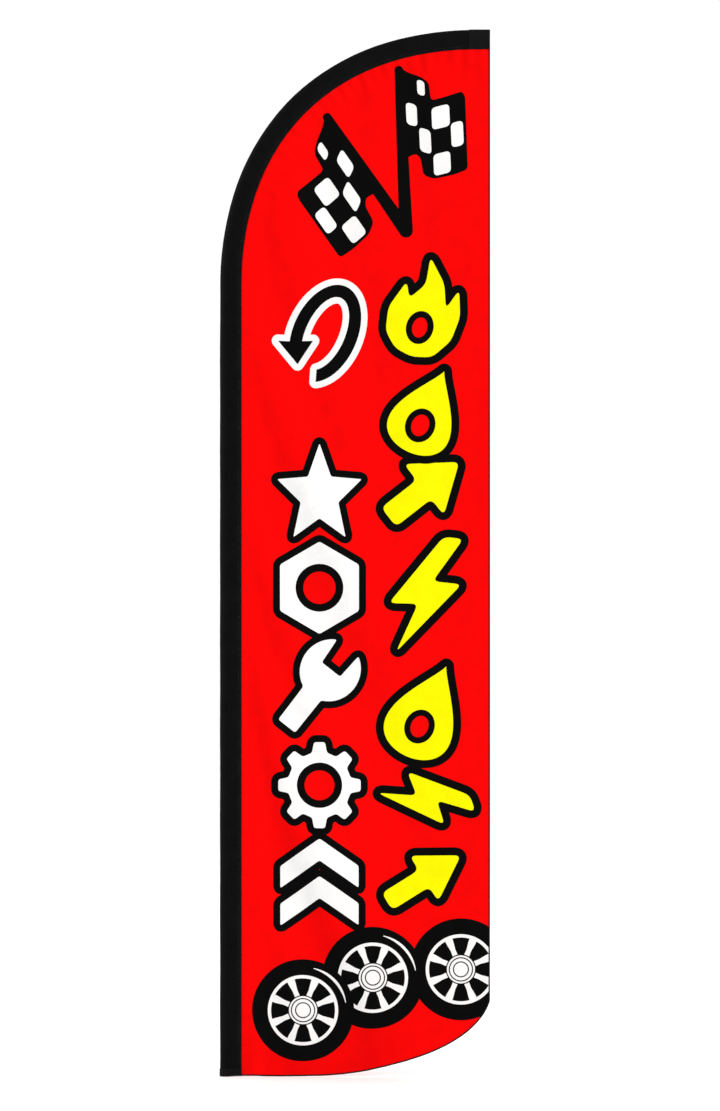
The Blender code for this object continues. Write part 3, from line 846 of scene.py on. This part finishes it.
def grown(outline, distance):
    """An outline moved outwards by a distance, with arcs round its corners."""
    x, z = outline.T
    turning = np.sign((x * np.roll(z, -1) - z * np.roll(x, -1)).sum())
    run = np.roll(outline, -1, axis=0) - outline
    headings = np.arctan2(run[:, 1], run[:, 0])
    result = []
    for corner, before, after in zip(outline, np.roll(headings, 1), headings):
        turn = (after - before + pi) % (2 * pi) - pi
        steps = max(1, int(abs(turn) / radians(16))) if turn * turning > 0 else 1
        for angle in before - turning * pi / 2 + turn * np.arange(steps + 1) / steps:
            result.append(corner + distance * np.array([cos(angle), sin(angle)]))
    return divided(np.array(result), LATTICE)


def near(points, outline, margin):
    """Which points lie in an outline's box, grown by a margin."""
    low, high = outline.min(0) - margin, outline.max(0) + margin
    return np.flatnonzero(((points > low) & (points < high)).all(1))


def flag_outline():
    """The panel's cut edge: the hidden edge in the seam, the fly, and the hem."""
    reach = POLE.stations(EDGE_INSET, POLE.length - 2 * EDGE_INSET, LATTICE)
    point, side = POLE.at(reach)
    seam = point + side * PANEL_HIDDEN_EDGE
    reach = HEM.stations(0, HEM.length, LATTICE)
    point, side = HEM.at(reach)
    hem = (point + side * EDGE_INSET)[1:-1]
    fly_x = FLY_X - EDGE_INSET
    top, foot = (fly_x, seam[-1, 1]), (fly_x, hem[-1, 1] + 5 * MM)
    return divided(np.array([*seam[:-1], top, foot, *hem[::-1]]), LATTICE)


def triangulated():
    """The flat panel: its points, its triangles and the ink of each."""
    cut = flag_outline()
    outlines = [divided(row[0], LATTICE) for row in PRINT]
    outlines += [grown(shape, border) for shape, ink, border, border_ink in PRINT if border]
    low, high = cut.min(0), cut.max(0)
    x, z = np.meshgrid(np.arange(low[0], high[0], LATTICE), np.arange(low[1], high[1], LATTICE))
    x[1::2] += LATTICE / 2
    lattice = np.column_stack([x.ravel(), z.ravel()])
    lattice = lattice[inside(lattice, cut)]
    clear = np.ones(len(lattice), bool)
    for outline in [cut, *outlines]:
        close = near(lattice, outline, 4 * MM)
        if len(close):
            clear[close] &= distance_to(lattice[close], outline) > CLEARANCE
    loops = [cut, *outlines]
    points = np.vstack([*loops, lattice[clear]])
    edges, first = [], 0
    for loop in loops:
        count = len(loop)
        edges += [(first + i, first + (i + 1) % count) for i in range(count)]
        first += count
    solved = geometry.delaunay_2d_cdt([Vector(point) for point in points], edges, [], 0, 1e-6)
    corners = np.array([tuple(corner) for corner in solved[0]])
    faces = np.array(solved[2])
    middles = corners[faces].mean(1)
    kept = inside(middles, cut)
    faces, middles = faces[kept], middles[kept]
    inks = np.full(len(faces), RED)
    for shape, ink, border, border_ink in PRINT:
        close = near(middles, shape, border)
        if not len(close):
            continue
        within = inside(middles[close], shape)
        if border:
            inks[close[within | (distance_to(middles[close], shape) < border)]] = border_ink
        inks[close[within]] = ink
    used, faces = np.unique(faces, return_inverse=True)
    return corners[used], faces.reshape(-1, 3), inks


def two_sided(name, corners, faces, inks, thickness, finishes):
    """A thin closed sheet that follows the folds: a front, a back and the cut edge between them."""
    middle = sway(corners[:, 0], corners[:, 1])
    count = len(corners)
    front = np.column_stack([corners[:, 0], middle - thickness / 2, corners[:, 1]])
    back = np.column_stack([corners[:, 0], middle + thickness / 2, corners[:, 1]])
    sides = np.vstack([faces[:, [0, 1]], faces[:, [1, 2]], faces[:, [2, 0]]])
    twins = set(map(tuple, sides[:, ::-1].tolist()))
    owners = np.tile(inks, 3)
    rim = [(side, ink) for side, ink in zip(sides.tolist(), owners) if tuple(side) not in twins]
    quads = [(b, a, a + count, b + count) for (a, b), ink in rim]
    mesh = bpy.data.meshes.new(name)
    mesh.from_pydata(
        np.vstack([front, back]).tolist(), [], faces.tolist() + (faces[:, ::-1] + count).tolist() + quads
    )
    for finish in finishes:
        mesh.materials.append(finish)
    slots = np.concatenate([inks, inks + len(INKS), [ink for side, ink in rim]]).astype(np.int32)
    mesh.polygons.foreach_set("material_index", slots)
    mesh.shade_smooth()
    mesh.set_sharp_from_angle(angle=radians(60))
    return shown(name, mesh)


corners, faces, inks = triangulated()
panel = two_sided("printed_panel", corners, faces, inks, CLOTH_THICKNESS, [*front_inks, *back_inks])

# %% [markdown]
# ## Strips that follow a line
#
# The sleeve, the tip pocket, the webbing and the edge tapes are all strips of one width, bent to a section
# and carried along a line. One function sweeps a section along a line and gives it a wall, so that each
# piece only has to say what its section looks like at each place.


# %% Sweep a strip
def walls(section, thickness):
    """The two faces of a strip: its middle line moved half a wall to either side."""
    along = np.gradient(section, axis=0)
    along /= np.hypot(*along.T)[:, None]
    outward = np.column_stack([along[:, 1], -along[:, 0]])
    return section + outward * thickness / 2, section - outward * thickness / 2


def on_line(line, reach, section):
    """Places a section's rows, inward and forward, at one length along a line."""
    point, side = line.at(np.full(len(section), reach))
    flat = point + side * section[:, :1]
    return np.column_stack([flat[:, 0], section[:, 1], flat[:, 1]])


def swayed(places):
    """Moves places with the cloth. The part round the pole stays where the pole holds it."""
    places = places.copy()
    places[:, 1] += sway(places[:, 0], places[:, 2])
    return places


def closed_rings(name, rings):
    """A closed mesh through rings of points. Each end is closed by joining the ring's two halves."""
    size = len(rings[0])
    last = (len(rings) - 1) * size
    faces = []
    for low in range(0, last, size):
        high = low + size
        faces += [(low + i, low + (i + 1) % size, high + (i + 1) % size, high + i) for i in range(size)]
    for i in range(size // 2):
        a, b, c, d = i, i + 1, size - 2 - i, size - 1 - i
        if b == c:
            faces.append((d, b, a))
            faces.append((last + a, last + b, last + d))
        elif b < c:
            faces.append((d, c, b, a))
            faces.append((last + a, last + b, last + c, last + d))
    mesh = bpy.data.meshes.new(name)
    mesh.from_pydata(swayed(np.vstack(rings)).tolist(), [], faces)
    return mesh


def strip(name, line, stations, section_at, thickness_at):
    """A closed strip: section_at and thickness_at give its middle line and its wall at a length."""
    rings = []
    for reach in stations:
        outer, inner = walls(section_at(reach), thickness_at(reach))
        rings.append(on_line(line, reach, np.vstack([outer, inner[::-1]])))
    return closed_rings(name, rings)


def facing_out(mesh):
    """Turns a closed mesh's faces outwards and shades it smooth, with its hard corners kept."""
    form = bmesh.new()
    form.from_mesh(mesh)
    bmesh.ops.recalc_face_normals(form, faces=form.faces)
    form.to_mesh(mesh)
    form.free()
    mesh.shade_smooth()
    mesh.set_sharp_from_angle(angle=radians(50))
    return mesh


def placed(name, mesh, finish):
    """A cloth piece in one finish."""
    mesh.materials.append(finish)
    return shown(name, facing_out(mesh))


# %% [markdown]
# ## The pole sleeve
#
# The sleeve is one strip of black Oxford nylon. It goes round the pole, closes to two flat leaves, and the
# panel is sewn between them. Round the bow the inner side has too much cloth, so it creases across, while
# the outer side is pulled tight. The creases only ever stand away from the pole.

# %% Make the sleeve
SLEEVE_THICKNESS = 0.6 * MM
LEAF_GAP = CLOTH_THICKNESS / 2 + 0.25 * MM
STATION = 7 * MM
CREASE_FINE, CREASE_COARSE, SLACK_LENGTH = 0.041, 0.067, 0.31  # from crease to crease, along the pole


def sleeve_bore(reach):
    """The sleeve's inner radius at each length along the pole."""
    return np.interp(reach, [0, TAPER_START, POLE.length], [FOOT_RADIUS, FOOT_RADIUS, TIP_RADIUS])


def folded(radius, gap, end=SEAM_END):
    """A strip's middle line: front leaf, round the pole, and back along the rear leaf."""
    round_pole = arc(radius, 60, 300, 21)
    start, heading = round_pole[0], np.array((sin(pi / 3), -cos(pi / 3)))
    handle = 0.45 * (SEAM_START - start[0])
    throat = curve(start, start + heading * handle, (SEAM_START - handle, gap), (SEAM_START, gap), 9)[1:]
    leaf = np.column_stack([np.linspace(SEAM_START, end, 4)[1:], np.full(3, gap)])
    rear = np.vstack([throat, leaf])[::-1]
    return np.vstack([rear, round_pole, rear[::-1] * (1, -1)])


def creased(section, reach, radius):
    """Pushes a section outwards in creases, strongest on the inner side of the bow."""
    u, v = section.T
    bent = ramp(reach, bow_start - 0.1, bow_start + 0.2)
    inner = ramp(u, -radius, radius)
    round_part = 1 - ramp(u, radius, SEAM_START - 4 * MM)
    across = np.arctan2(v, u)
    lines = np.sin(reach * 2 * pi / CREASE_FINE + 0.8 * np.sin(across * 2) + 1.4 * np.sin(reach * 7))
    lines += 0.7 * np.sin(reach * 2 * pi / CREASE_COARSE + 2.1 * np.cos(across) + 0.9 * np.sin(reach * 13))
    slack = np.sin(reach * 2 * pi / SLACK_LENGTH + across) + 1
    height = (0.25 + 0.75 * bent * inner) * (lines / 1.7 + 1) * 0.55 * MM + slack * 0.3 * MM
    distance = np.maximum(np.hypot(u, v), 1e-6)
    return section + section / distance[:, None] * (height * round_part)[:, None]


def sleeve_section(reach):
    """The sleeve's middle line at one length along the pole."""
    radius = sleeve_bore(reach) + SLEEVE_THICKNESS / 2
    return creased(folded(radius, LEAF_GAP + SLEEVE_THICKNESS / 2), reach, radius)


sleeve_stations = POLE.stations(0, POLE.length - 2 * MM, STATION)
sleeve_mesh = strip("sleeve_cloth", POLE, sleeve_stations, sleeve_section, lambda reach: SLEEVE_THICKNESS)
sleeve = placed("sleeve_cloth", sleeve_mesh, oxford)
leaf_lengths = [np.hypot(*np.diff(sleeve_section(reach), axis=0).T).sum() for reach in (0.1, 2.0, 4.0)]
print("sleeve strip width at foot, middle and tip:", [round(length, 3) for length in leaf_lengths])

# %% [markdown]
# ## Webbing at the mouth and the tip
#
# The two ends take all the wear. A band of webbing binds the mouth, where the pole goes in, and a webbing
# pocket closes the tip, where the knob pushes. Both are strips like the sleeve, a size larger. The pocket
# also has a flat end, made as a thin plate whose rim is rounded.

# %% Mouth band and tip pocket
WEBBING_THICKNESS = 1.1 * MM
BAND_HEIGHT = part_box("mouth_webbing")[1].z
POCKET_START = POLE.length - (FLY_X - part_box("tip_pocket")[0].x)


def over_sleeve(reach):
    """The middle line of webbing that lies on the sleeve."""
    lift = SLEEVE_THICKNESS + 0.35 * MM + WEBBING_THICKNESS / 2
    radius = sleeve_bore(reach) + lift + 0.6 * MM
    return folded(radius, LEAF_GAP + lift)


def soft_ended(start, end):
    """Webbing thins where its ends are sealed with heat."""

    def wall(reach):
        return WEBBING_THICKNESS * (0.55 + 0.45 * min(1, (reach - start) / MM, (end - reach) / MM))

    return wall


band_steps = np.concatenate([[0, 0.4, 1.0], np.linspace(2, 23, 12), [24.0, 24.6, 25.0]])
band_stations = band_steps / band_steps[-1] * BAND_HEIGHT
band_mesh = strip("mouth_band", POLE, band_stations, over_sleeve, soft_ended(0, BAND_HEIGHT))
band = placed("mouth_band", band_mesh, webbing)

pocket_rim = POCKET_START + np.array([0, 0.4, 1]) * MM
pocket_body = POLE.stations(POCKET_START + 3 * MM, POLE.length - 0.6 * MM, 4 * MM)
pocket_wall = soft_ended(POCKET_START, POLE.length + MM)
pocket_mesh = strip("pocket", POLE, np.concatenate([pocket_rim, pocket_body]), over_sleeve, pocket_wall)


def end_plate(start, end):
    """A plate across the strip's section, whose rim is drawn in at both faces."""
    depth = end - start
    rings = []
    for reach, inset in ((start, 0.5), (start + 0.2 * depth, 0.0), (end - 0.3 * depth, 0.0), (end, 0.45)):
        outline = walls(over_sleeve(reach), WEBBING_THICKNESS - inset * MM)[0]
        rings.append(on_line(POLE, reach, outline))
    return closed_rings("end_plate", rings)


plate_mesh = end_plate(POLE.length - 1.6 * MM, POLE.length)
joined = bmesh.new()
joined.from_mesh(pocket_mesh)
joined.from_mesh(plate_mesh)
joined.to_mesh(pocket_mesh)
joined.free()
bpy.data.meshes.remove(plate_mesh)
pocket = placed("webbing_pocket", pocket_mesh, webbing)
print("pocket from", round(POCKET_START, 3), "to", round(POLE.length, 3), "m along the pole")

# %% [markdown]
# ## Edge tapes
#
# The fly and the hem are bound with narrow tape folded over the cut edge. Its section is a U with a round
# back. The hem tape follows the sweep up to the corner, and the fly tape runs from there to the seam.

# %% Bind the fly and the hem
TAPE_WIDTH, TAPE_THICKNESS = 5 * MM, 0.55 * MM
CORNER_HEIGHT, FLY_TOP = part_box("fly_edge_binding")[0].z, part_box("fly_edge_binding")[1].z


def tape_section(reach):
    """The tape's middle line: a U that is the same at every length."""
    spread = CLOTH_THICKNESS / 2 + 0.15 * MM + TAPE_THICKNESS / 2
    back = arc(spread, 90, 270, 7) + (spread + TAPE_THICKNESS / 2 + 0.1 * MM, 0)
    leg = [(inward, spread) for inward in np.linspace(TAPE_WIDTH, back[0, 0] + 0.5 * MM, 4)]
    return np.array([*leg, *back, *[(inward, -v) for inward, v in leg[::-1]]])


FLY = Line([(FLY_X, height) for height in np.linspace(CORNER_HEIGHT, FLY_TOP, 60)], side=-1)


def bound(name, line):
    """Tape along the whole of a line."""
    stations = line.stations(0, line.length, STATION)
    return placed(name, strip(name, line, stations, tape_section, lambda reach: TAPE_THICKNESS), tape)


hem_tape = bound("hem_tape", HEM)
fly_tape = bound("fly_tape", FLY)
print("tape", round(HEM.length + FLY.length, 3), "m")

# %% [markdown]
# ## Stitching
#
# A seam is a row of short raised stitches. Each row starts as a plain line that already follows the cloth,
# and a Geometry Nodes tree turns it into thread: it walks along the line at the stitch pitch, sets a
# stretched ball at each step, and turns it along the line. The ball has few faces, because a flag has
# thousands of stitches.

# %% The stitch tree
THREAD_PITCH = 1 * MM  # drawn coarser than the real twist
# Polyester thread, twisted and dyed black: smooth fibres, so it is the shiniest of the sewn pieces.
thread = cloth("black_polyester_thread", "#222225", "#111113", 0.55, 0.2, THREAD_PITCH, 0.6)
STITCH_PITCH, STITCH_LENGTH, THREAD_RADIUS = 6 * MM, 4.2 * MM, 0.38 * MM
STITCH_SEGMENTS, STITCH_RINGS = 6, 4
CROOKEDNESS = 0.06  # radians that a stitch may turn off its row


def stitch_tree():
    """The node tree that turns rows of edges into stitches."""
    tree = bpy.data.node_groups.new("stitch_row", "GeometryNodeTree")
    face = tree.interface
    face.new_socket("Rows", in_out="INPUT", socket_type="NodeSocketGeometry")
    for name in ("Pitch", "Length", "Radius", "Crookedness"):
        face.new_socket(name, in_out="INPUT", socket_type="NodeSocketFloat")
    face.new_socket("Seed", in_out="INPUT", socket_type="NodeSocketInt")
    face.new_socket("Thread", in_out="INPUT", socket_type="NodeSocketMaterial")
    face.new_socket("Stitches", in_out="OUTPUT", socket_type="NodeSocketGeometry")
    given = tree.nodes.new("NodeGroupInput").outputs
    lines = add(tree, "GeometryNodeMeshToCurve", Mesh=given["Rows"])
    by_length = {"mode": "LENGTH"}
    steps = add(tree, "GeometryNodeResampleCurve", by_length, Curve=lines.outputs[0], Length=given["Pitch"])
    ball = add(tree, "GeometryNodeMeshUVSphere", Segments=STITCH_SEGMENTS, Rings=STITCH_RINGS, Radius=0.5)
    along = tree.nodes.new("GeometryNodeInputTangent").outputs[0]
    turned = add(tree, "FunctionNodeAlignRotationToVector", {"axis": "Z"}, Vector=along)
    less = add(tree, "ShaderNodeMath", {"operation": "MULTIPLY"}, _0=given["Crookedness"], _1=-1.0)
    low = add(tree, "ShaderNodeCombineXYZ", X=less.outputs[0], Y=less.outputs[0])
    high = add(tree, "ShaderNodeCombineXYZ", X=given["Crookedness"], Y=given["Crookedness"])
    as_vector = {"data_type": "FLOAT_VECTOR"}
    wobble = add(tree, "FunctionNodeRandomValue", as_vector, _0=low.outputs[0], _1=high.outputs[0])
    tree.links.new(given["Seed"], wobble.inputs["Seed"])
    crooked = add(tree, "FunctionNodeEulerToRotation", _0=wobble.outputs[0])
    in_place = {"rotation_space": "LOCAL"}
    both = add(tree, "FunctionNodeRotateRotation", in_place, _0=turned.outputs[0], _1=crooked.outputs[0])
    width = add(tree, "ShaderNodeMath", {"operation": "MULTIPLY"}, _0=given["Radius"], _1=2.0)
    size = add(tree, "ShaderNodeCombineXYZ", X=width.outputs[0], Y=width.outputs[0], Z=given["Length"])
    placed_balls = add(
        tree,
        "GeometryNodeInstanceOnPoints",
        Points=steps.outputs[0],
        Instance=ball.outputs["Mesh"],
        Rotation=both.outputs[0],
        Scale=size.outputs[0],
    )
    real = add(tree, "GeometryNodeRealizeInstances", Geometry=placed_balls.outputs[0])
    smooth = add(tree, "GeometryNodeSetShadeSmooth", Geometry=real.outputs[0])
    finished = add(tree, "GeometryNodeSetMaterial", Geometry=smooth.outputs[0], Material=given["Thread"])
    tree.links.new(finished.outputs[0], tree.nodes.new("NodeGroupOutput").inputs[0])
    return tree


stitch_rows = stitch_tree()


def stitched(name, rows, seed):
    """Turns rows of places into one mesh of stitches."""
    points, edges = [], []
    for row in rows:
        first = len(points)
        points += row.tolist()
        edges += [(i, i + 1) for i in range(first, len(points) - 1)]
    mesh = bpy.data.meshes.new(name)
    mesh.from_pydata(points, edges, [])
    thing = shown(name, mesh)
    sewing = thing.modifiers.new("sewing", "NODES")
    sewing.node_group = stitch_rows
    values = {
        "Pitch": STITCH_PITCH,
        "Length": STITCH_LENGTH,
        "Radius": THREAD_RADIUS,
        "Crookedness": CROOKEDNESS,
        "Seed": seed,
        "Thread": thread,
    }
    for socket in stitch_rows.interface.items_tree:
        if socket.in_out == "INPUT" and socket.name in values:
            sewing[socket.identifier] = values[socket.name]
    result = bpy.data.meshes.new_from_object(thing.evaluated_get(bpy.context.evaluated_depsgraph_get()))
    thing.modifiers.remove(sewing)
    thing.data = result
    print(name, round(len(result.polygons) / (STITCH_SEGMENTS * STITCH_RINGS)), "stitches")
    return thing


# %% [markdown]
# Two rows hold the panel in the sleeve, on both faces. One row holds each tape. On the webbing the rows run
# round the section, a few millimetres from its edges.

# %% Sew every seam
ON_LEAF = LEAF_GAP + SLEEVE_THICKNESS + 0.1 * MM
ON_TAPE = CLOTH_THICKNESS / 2 + 0.15 * MM + TAPE_THICKNESS + 0.1 * MM
SEAM_ROWS = (47.5 * MM, 54.5 * MM)  # in from the pole's axis
EDGE_ROW = 3.4 * MM  # in from the hem line and the fly line
WEBBING_ROWS = (4 * MM, 21 * MM, POCKET_START + 4 * MM, POCKET_START + 12 * MM)  # along the pole


def rows_beside(line, start, end, inward, lift):
    """A row on the front and a row on the back, at one distance in from a line."""
    point, side = line.at(line.stations(start, end, 3 * MM))
    flat = point + side * inward
    return [
        swayed(np.column_stack([flat[:, 0], np.full(len(flat), face * lift), flat[:, 1]])) for face in (-1, 1)
    ]


def row_round(reach):
    """A row round the webbing's outer face at one length along the pole."""
    outer = walls(over_sleeve(reach), WEBBING_THICKNESS + 0.2 * MM)[0][1:-1]
    return swayed(on_line(POLE, reach, outer))


seam_rows = []
for inward in SEAM_ROWS:
    seam_rows += rows_beside(POLE, BAND_HEIGHT + 2 * MM, POCKET_START - 3 * MM, inward, ON_LEAF)
seam_stitches = stitched("seam_stitches", seam_rows, seed=3)
edge_rows = rows_beside(HEM, HEM_TUCK + 5 * MM, HEM.length - 3 * MM, EDGE_ROW, ON_TAPE)
edge_rows += rows_beside(FLY, 3 * MM, FLY.length - 3 * MM, EDGE_ROW, ON_TAPE)
edge_stitches = stitched("edge_stitches", edge_rows, seed=5)
webbing_stitches = stitched("webbing_stitches", [row_round(reach) for reach in WEBBING_ROWS], seed=8)

# %% [markdown]
# ## The hard pieces
#
# The pole, its collars and the spindle are hidden in the sleeve until the flag is taken apart. Their shapes
# are already right in the frame, so each is copied, its loose triangles are merged, and its turned edges
# are broken with a small bevel, as a lathe tool or a mould would leave them.

# %% Finishes for metal and plastic
BROAD_GRAIN = 40 * MM
WEAR = 0.06  # how far the roughness drifts either way


def solid_finish(name, light, dark, roughness, metallic, grain, stretch=(1, 1, 1), relief=0.1, **sockets):
    """A hard finish: two close tones over a grain that can be drawn out along an axis."""
    material, tree, shader, place = blank(name, roughness, metallic, **sockets)
    drawn = add(tree, "ShaderNodeMapping", Vector=place, Scale=stretch)
    fine = add(
        tree, "ShaderNodeTexNoise", Vector=drawn.outputs[0], Scale=1 / grain, Detail=5.0, Roughness=0.6
    ).outputs["Fac"]
    broad = add(tree, "ShaderNodeTexNoise", Vector=place, Scale=1 / BROAD_GRAIN, Detail=2.0).outputs["Fac"]
    blend = add(tree, "ShaderNodeMath", {"operation": "ADD"}, _0=fine, _1=broad)
    spread = add(tree, "ShaderNodeMapRange", _0=blend.outputs[0], _1=0.7, _2=1.3)
    tint = add(tree, "ShaderNodeMix", {"data_type": "RGBA"}, _0=spread.outputs[0])
    tint.inputs[6].default_value = tone(dark)
    tint.inputs[7].default_value = tone(light)
    tree.links.new(tint.outputs[2], shader.inputs["Base Color"])
    low, high = roughness - WEAR, roughness + WEAR
    worn = add(tree, "ShaderNodeMapRange", _0=fine, _1=0.3, _2=0.7, _3=low, _4=high)
    tree.links.new(worn.outputs[0], shader.inputs["Roughness"])
    bump = add(tree, "ShaderNodeBump", Height=fine, Strength=relief, Distance=0.1 * MM)
    tree.links.new(bump.outputs["Normal"], shader.inputs["Normal"])
    return material


DRAWN_OUT = (1, 1, 0.02)  # draws the grain out fifty times along the tube, as a die leaves it
PULLED_OUT = (1, 1, 0.04)  # the same for glass rovings
# Steel, zinc plated: bright cool grey, faintly cloudy.
zinc = solid_finish("zinc_plated_steel", "#C9CCCF", "#A9AFB6", 0.36, 1.0, 3 * MM)
# Acetal left undyed: milky white with a waxy gloss.
white_acetal = solid_finish("white_acetal", "#F1F0EB", "#E6E4DC", 0.38, 0.0, 2 * MM, IOR=1.48)
# Hardened spring steel: darker and glossier than the zinc.
spring_steel = solid_finish("spring_steel", "#7C7A78", "#5A5A5C", 0.30, 1.0, 1 * MM)
# Nylon filled with glass fibre: dull black, slightly mottled by the fibres.
black_nylon = solid_finish("glass_filled_black_nylon", "#232326", "#151517", 0.52, 0.0, 0.8 * MM, IOR=1.53)
# Nitrile rubber: soft black with no clear highlights.
rubber = solid_finish("nitrile_rubber", "#1A1A1B", "#101011", 0.62, 0.0, 1 * MM, relief=0.2, IOR=1.52)
# Drawn tube, clear anodised: satin grey with fine lines along its length.
anodised = solid_finish(
    "satin_anodised_aluminium", "#BFC1C4", "#A6A9AD", 0.34, 1.0, 0.5 * MM, DRAWN_OUT, 0.3
)
# ABS from a textured mould: black with a fine even grain.
moulded_abs = solid_finish("moulded_black_abs", "#202022", "#161618", 0.44, 0.0, 1.2 * MM, IOR=1.54)
# Drawn tube left bare: brighter and glossier than the anodised tube.
bright = solid_finish("bright_drawn_aluminium", "#DADCDE", "#C6C9CC", 0.22, 1.0, 0.5 * MM, DRAWN_OUT, 0.15)
# Pultruded glass fibre: cream, with rovings that run lengthwise under the resin.
fibreglass = solid_finish(
    "pultruded_fibreglass", "#DDD6C0", "#BDB498", 0.34, 0.0, 0.8 * MM, PULLED_OUT, 0.3, IOR=1.55
)
# Acetal dyed black: darker and smoother than the ABS.
black_acetal = solid_finish("black_acetal", "#1B1B1C", "#121213", 0.36, 0.0, 2 * MM, IOR=1.48)
print(len(bpy.data.materials), "materials so far")

# %% [markdown]
# Each hard piece is listed with the body it rides on, its finish, and how wide its edges are broken, in
# millimetres. The O-rings and the rod have no edges to break.

# %% Refine the hard pieces
HARD_PIECES = {
    "spindle_foot": ("spindle", zinc, 0.4),
    "spindle_shaft": ("spindle", zinc, 0.4),
    "lower_thrust_washer": ("spindle", white_acetal, 0.3),
    "upper_thrust_washer": ("spindle", white_acetal, 0.25),
    "retaining_clip": ("spindle", spring_steel, 0.15),
    "rotor_sleeve": ("rotor", black_nylon, 0.3),
    "rotor_o_ring_low": ("rotor", rubber, 0),
    "rotor_o_ring_high": ("rotor", rubber, 0),
    "lower_tube": ("lower_pole", anodised, 0.3),
    "lower_collar": ("lower_pole", moulded_abs, 0.3),
    "middle_tube": ("middle_pole", anodised, 0.3),
    "middle_collar": ("middle_pole", moulded_abs, 0.3),
    "rod_ferrule": ("flag", bright, 0.2),
    "tip_rod": ("flag", fibreglass, 0),
    "tip_knob": ("flag", black_acetal, 0.4),
}


def refined(node, body, finish, edge):
    """A merged copy of a piece from the frame, with its sharp edges broken by edge millimetres."""
    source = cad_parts[node].data
    form = bmesh.new()
    form.from_mesh(source)
    bmesh.ops.remove_doubles(form, verts=form.verts, dist=0.001 * MM)
    bmesh.ops.join_triangles(
        form, faces=form.faces, angle_face_threshold=radians(1), angle_shape_threshold=radians(180)
    )
    paired = [side for side in form.edges if len(side.link_faces) == 2]
    sharp = [side for side in paired if side.calc_face_angle() > radians(40)]
    if edge:
        bmesh.ops.bevel(
            form,
            geom=sharp,
            offset=edge * MM,
            offset_type="OFFSET",
            segments=2,
            profile=0.5,
            affect="EDGES",
            clamp_overlap=True,
        )
    mesh = bpy.data.meshes.new(node + "_finished")
    form.to_mesh(mesh)
    form.free()
    mesh.shade_smooth()
    mesh.set_sharp_from_angle(angle=radians(35))
    mesh.materials.append(finish)
    piece = shown(node + "_finished", mesh)
    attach(piece, body)
    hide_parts(node)
    return piece


hard = {node: refined(node, *facts) for node, facts in HARD_PIECES.items()}
print(len(hard), "hard pieces,", sum(len(piece.data.polygons) for piece in hard.values()), "faces")

# %% [markdown]
# ## Tying it together
#
# Every cloth piece rides on the flag, which lifts off and spins with the top of the pole.

# %% Bodies
CLOTH_PIECES = (
    (sleeve, "oxford_nylon", ("pole_sleeve",)),
    (pocket, "webbing", ("tip_pocket",)),
    (band, "webbing", ("mouth_webbing",)),
    (panel, "printed_polyester", ("banner_panel",)),
    (hem_tape, "binding_tape", ("bottom_edge_binding",)),
    (fly_tape, "binding_tape", ("fly_edge_binding",)),
    (seam_stitches, "oxford_nylon", ()),
    (edge_stitches, "binding_tape", ()),
    (webbing_stitches, "webbing", ()),
)
for piece, material_slot, nodes in CLOTH_PIECES:
    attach(piece, "flag")
    if nodes:
        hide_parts(*nodes)

print(len(CLOTH_PIECES), "cloth and stitch pieces ride on the flag")

# %% [markdown]
# Last, the finished box is measured against the frame's. Cloth and webbing may stand a little past it.

# %% Measure and finish
shown_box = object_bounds()
for axis in range(3):
    low, high = shown_box[0][axis] - cad_box[0][axis], shown_box[1][axis] - cad_box[1][axis]
    print("xyz"[axis], f"box differs by {low / MM:.1f} and {high / MM:.1f} mm")
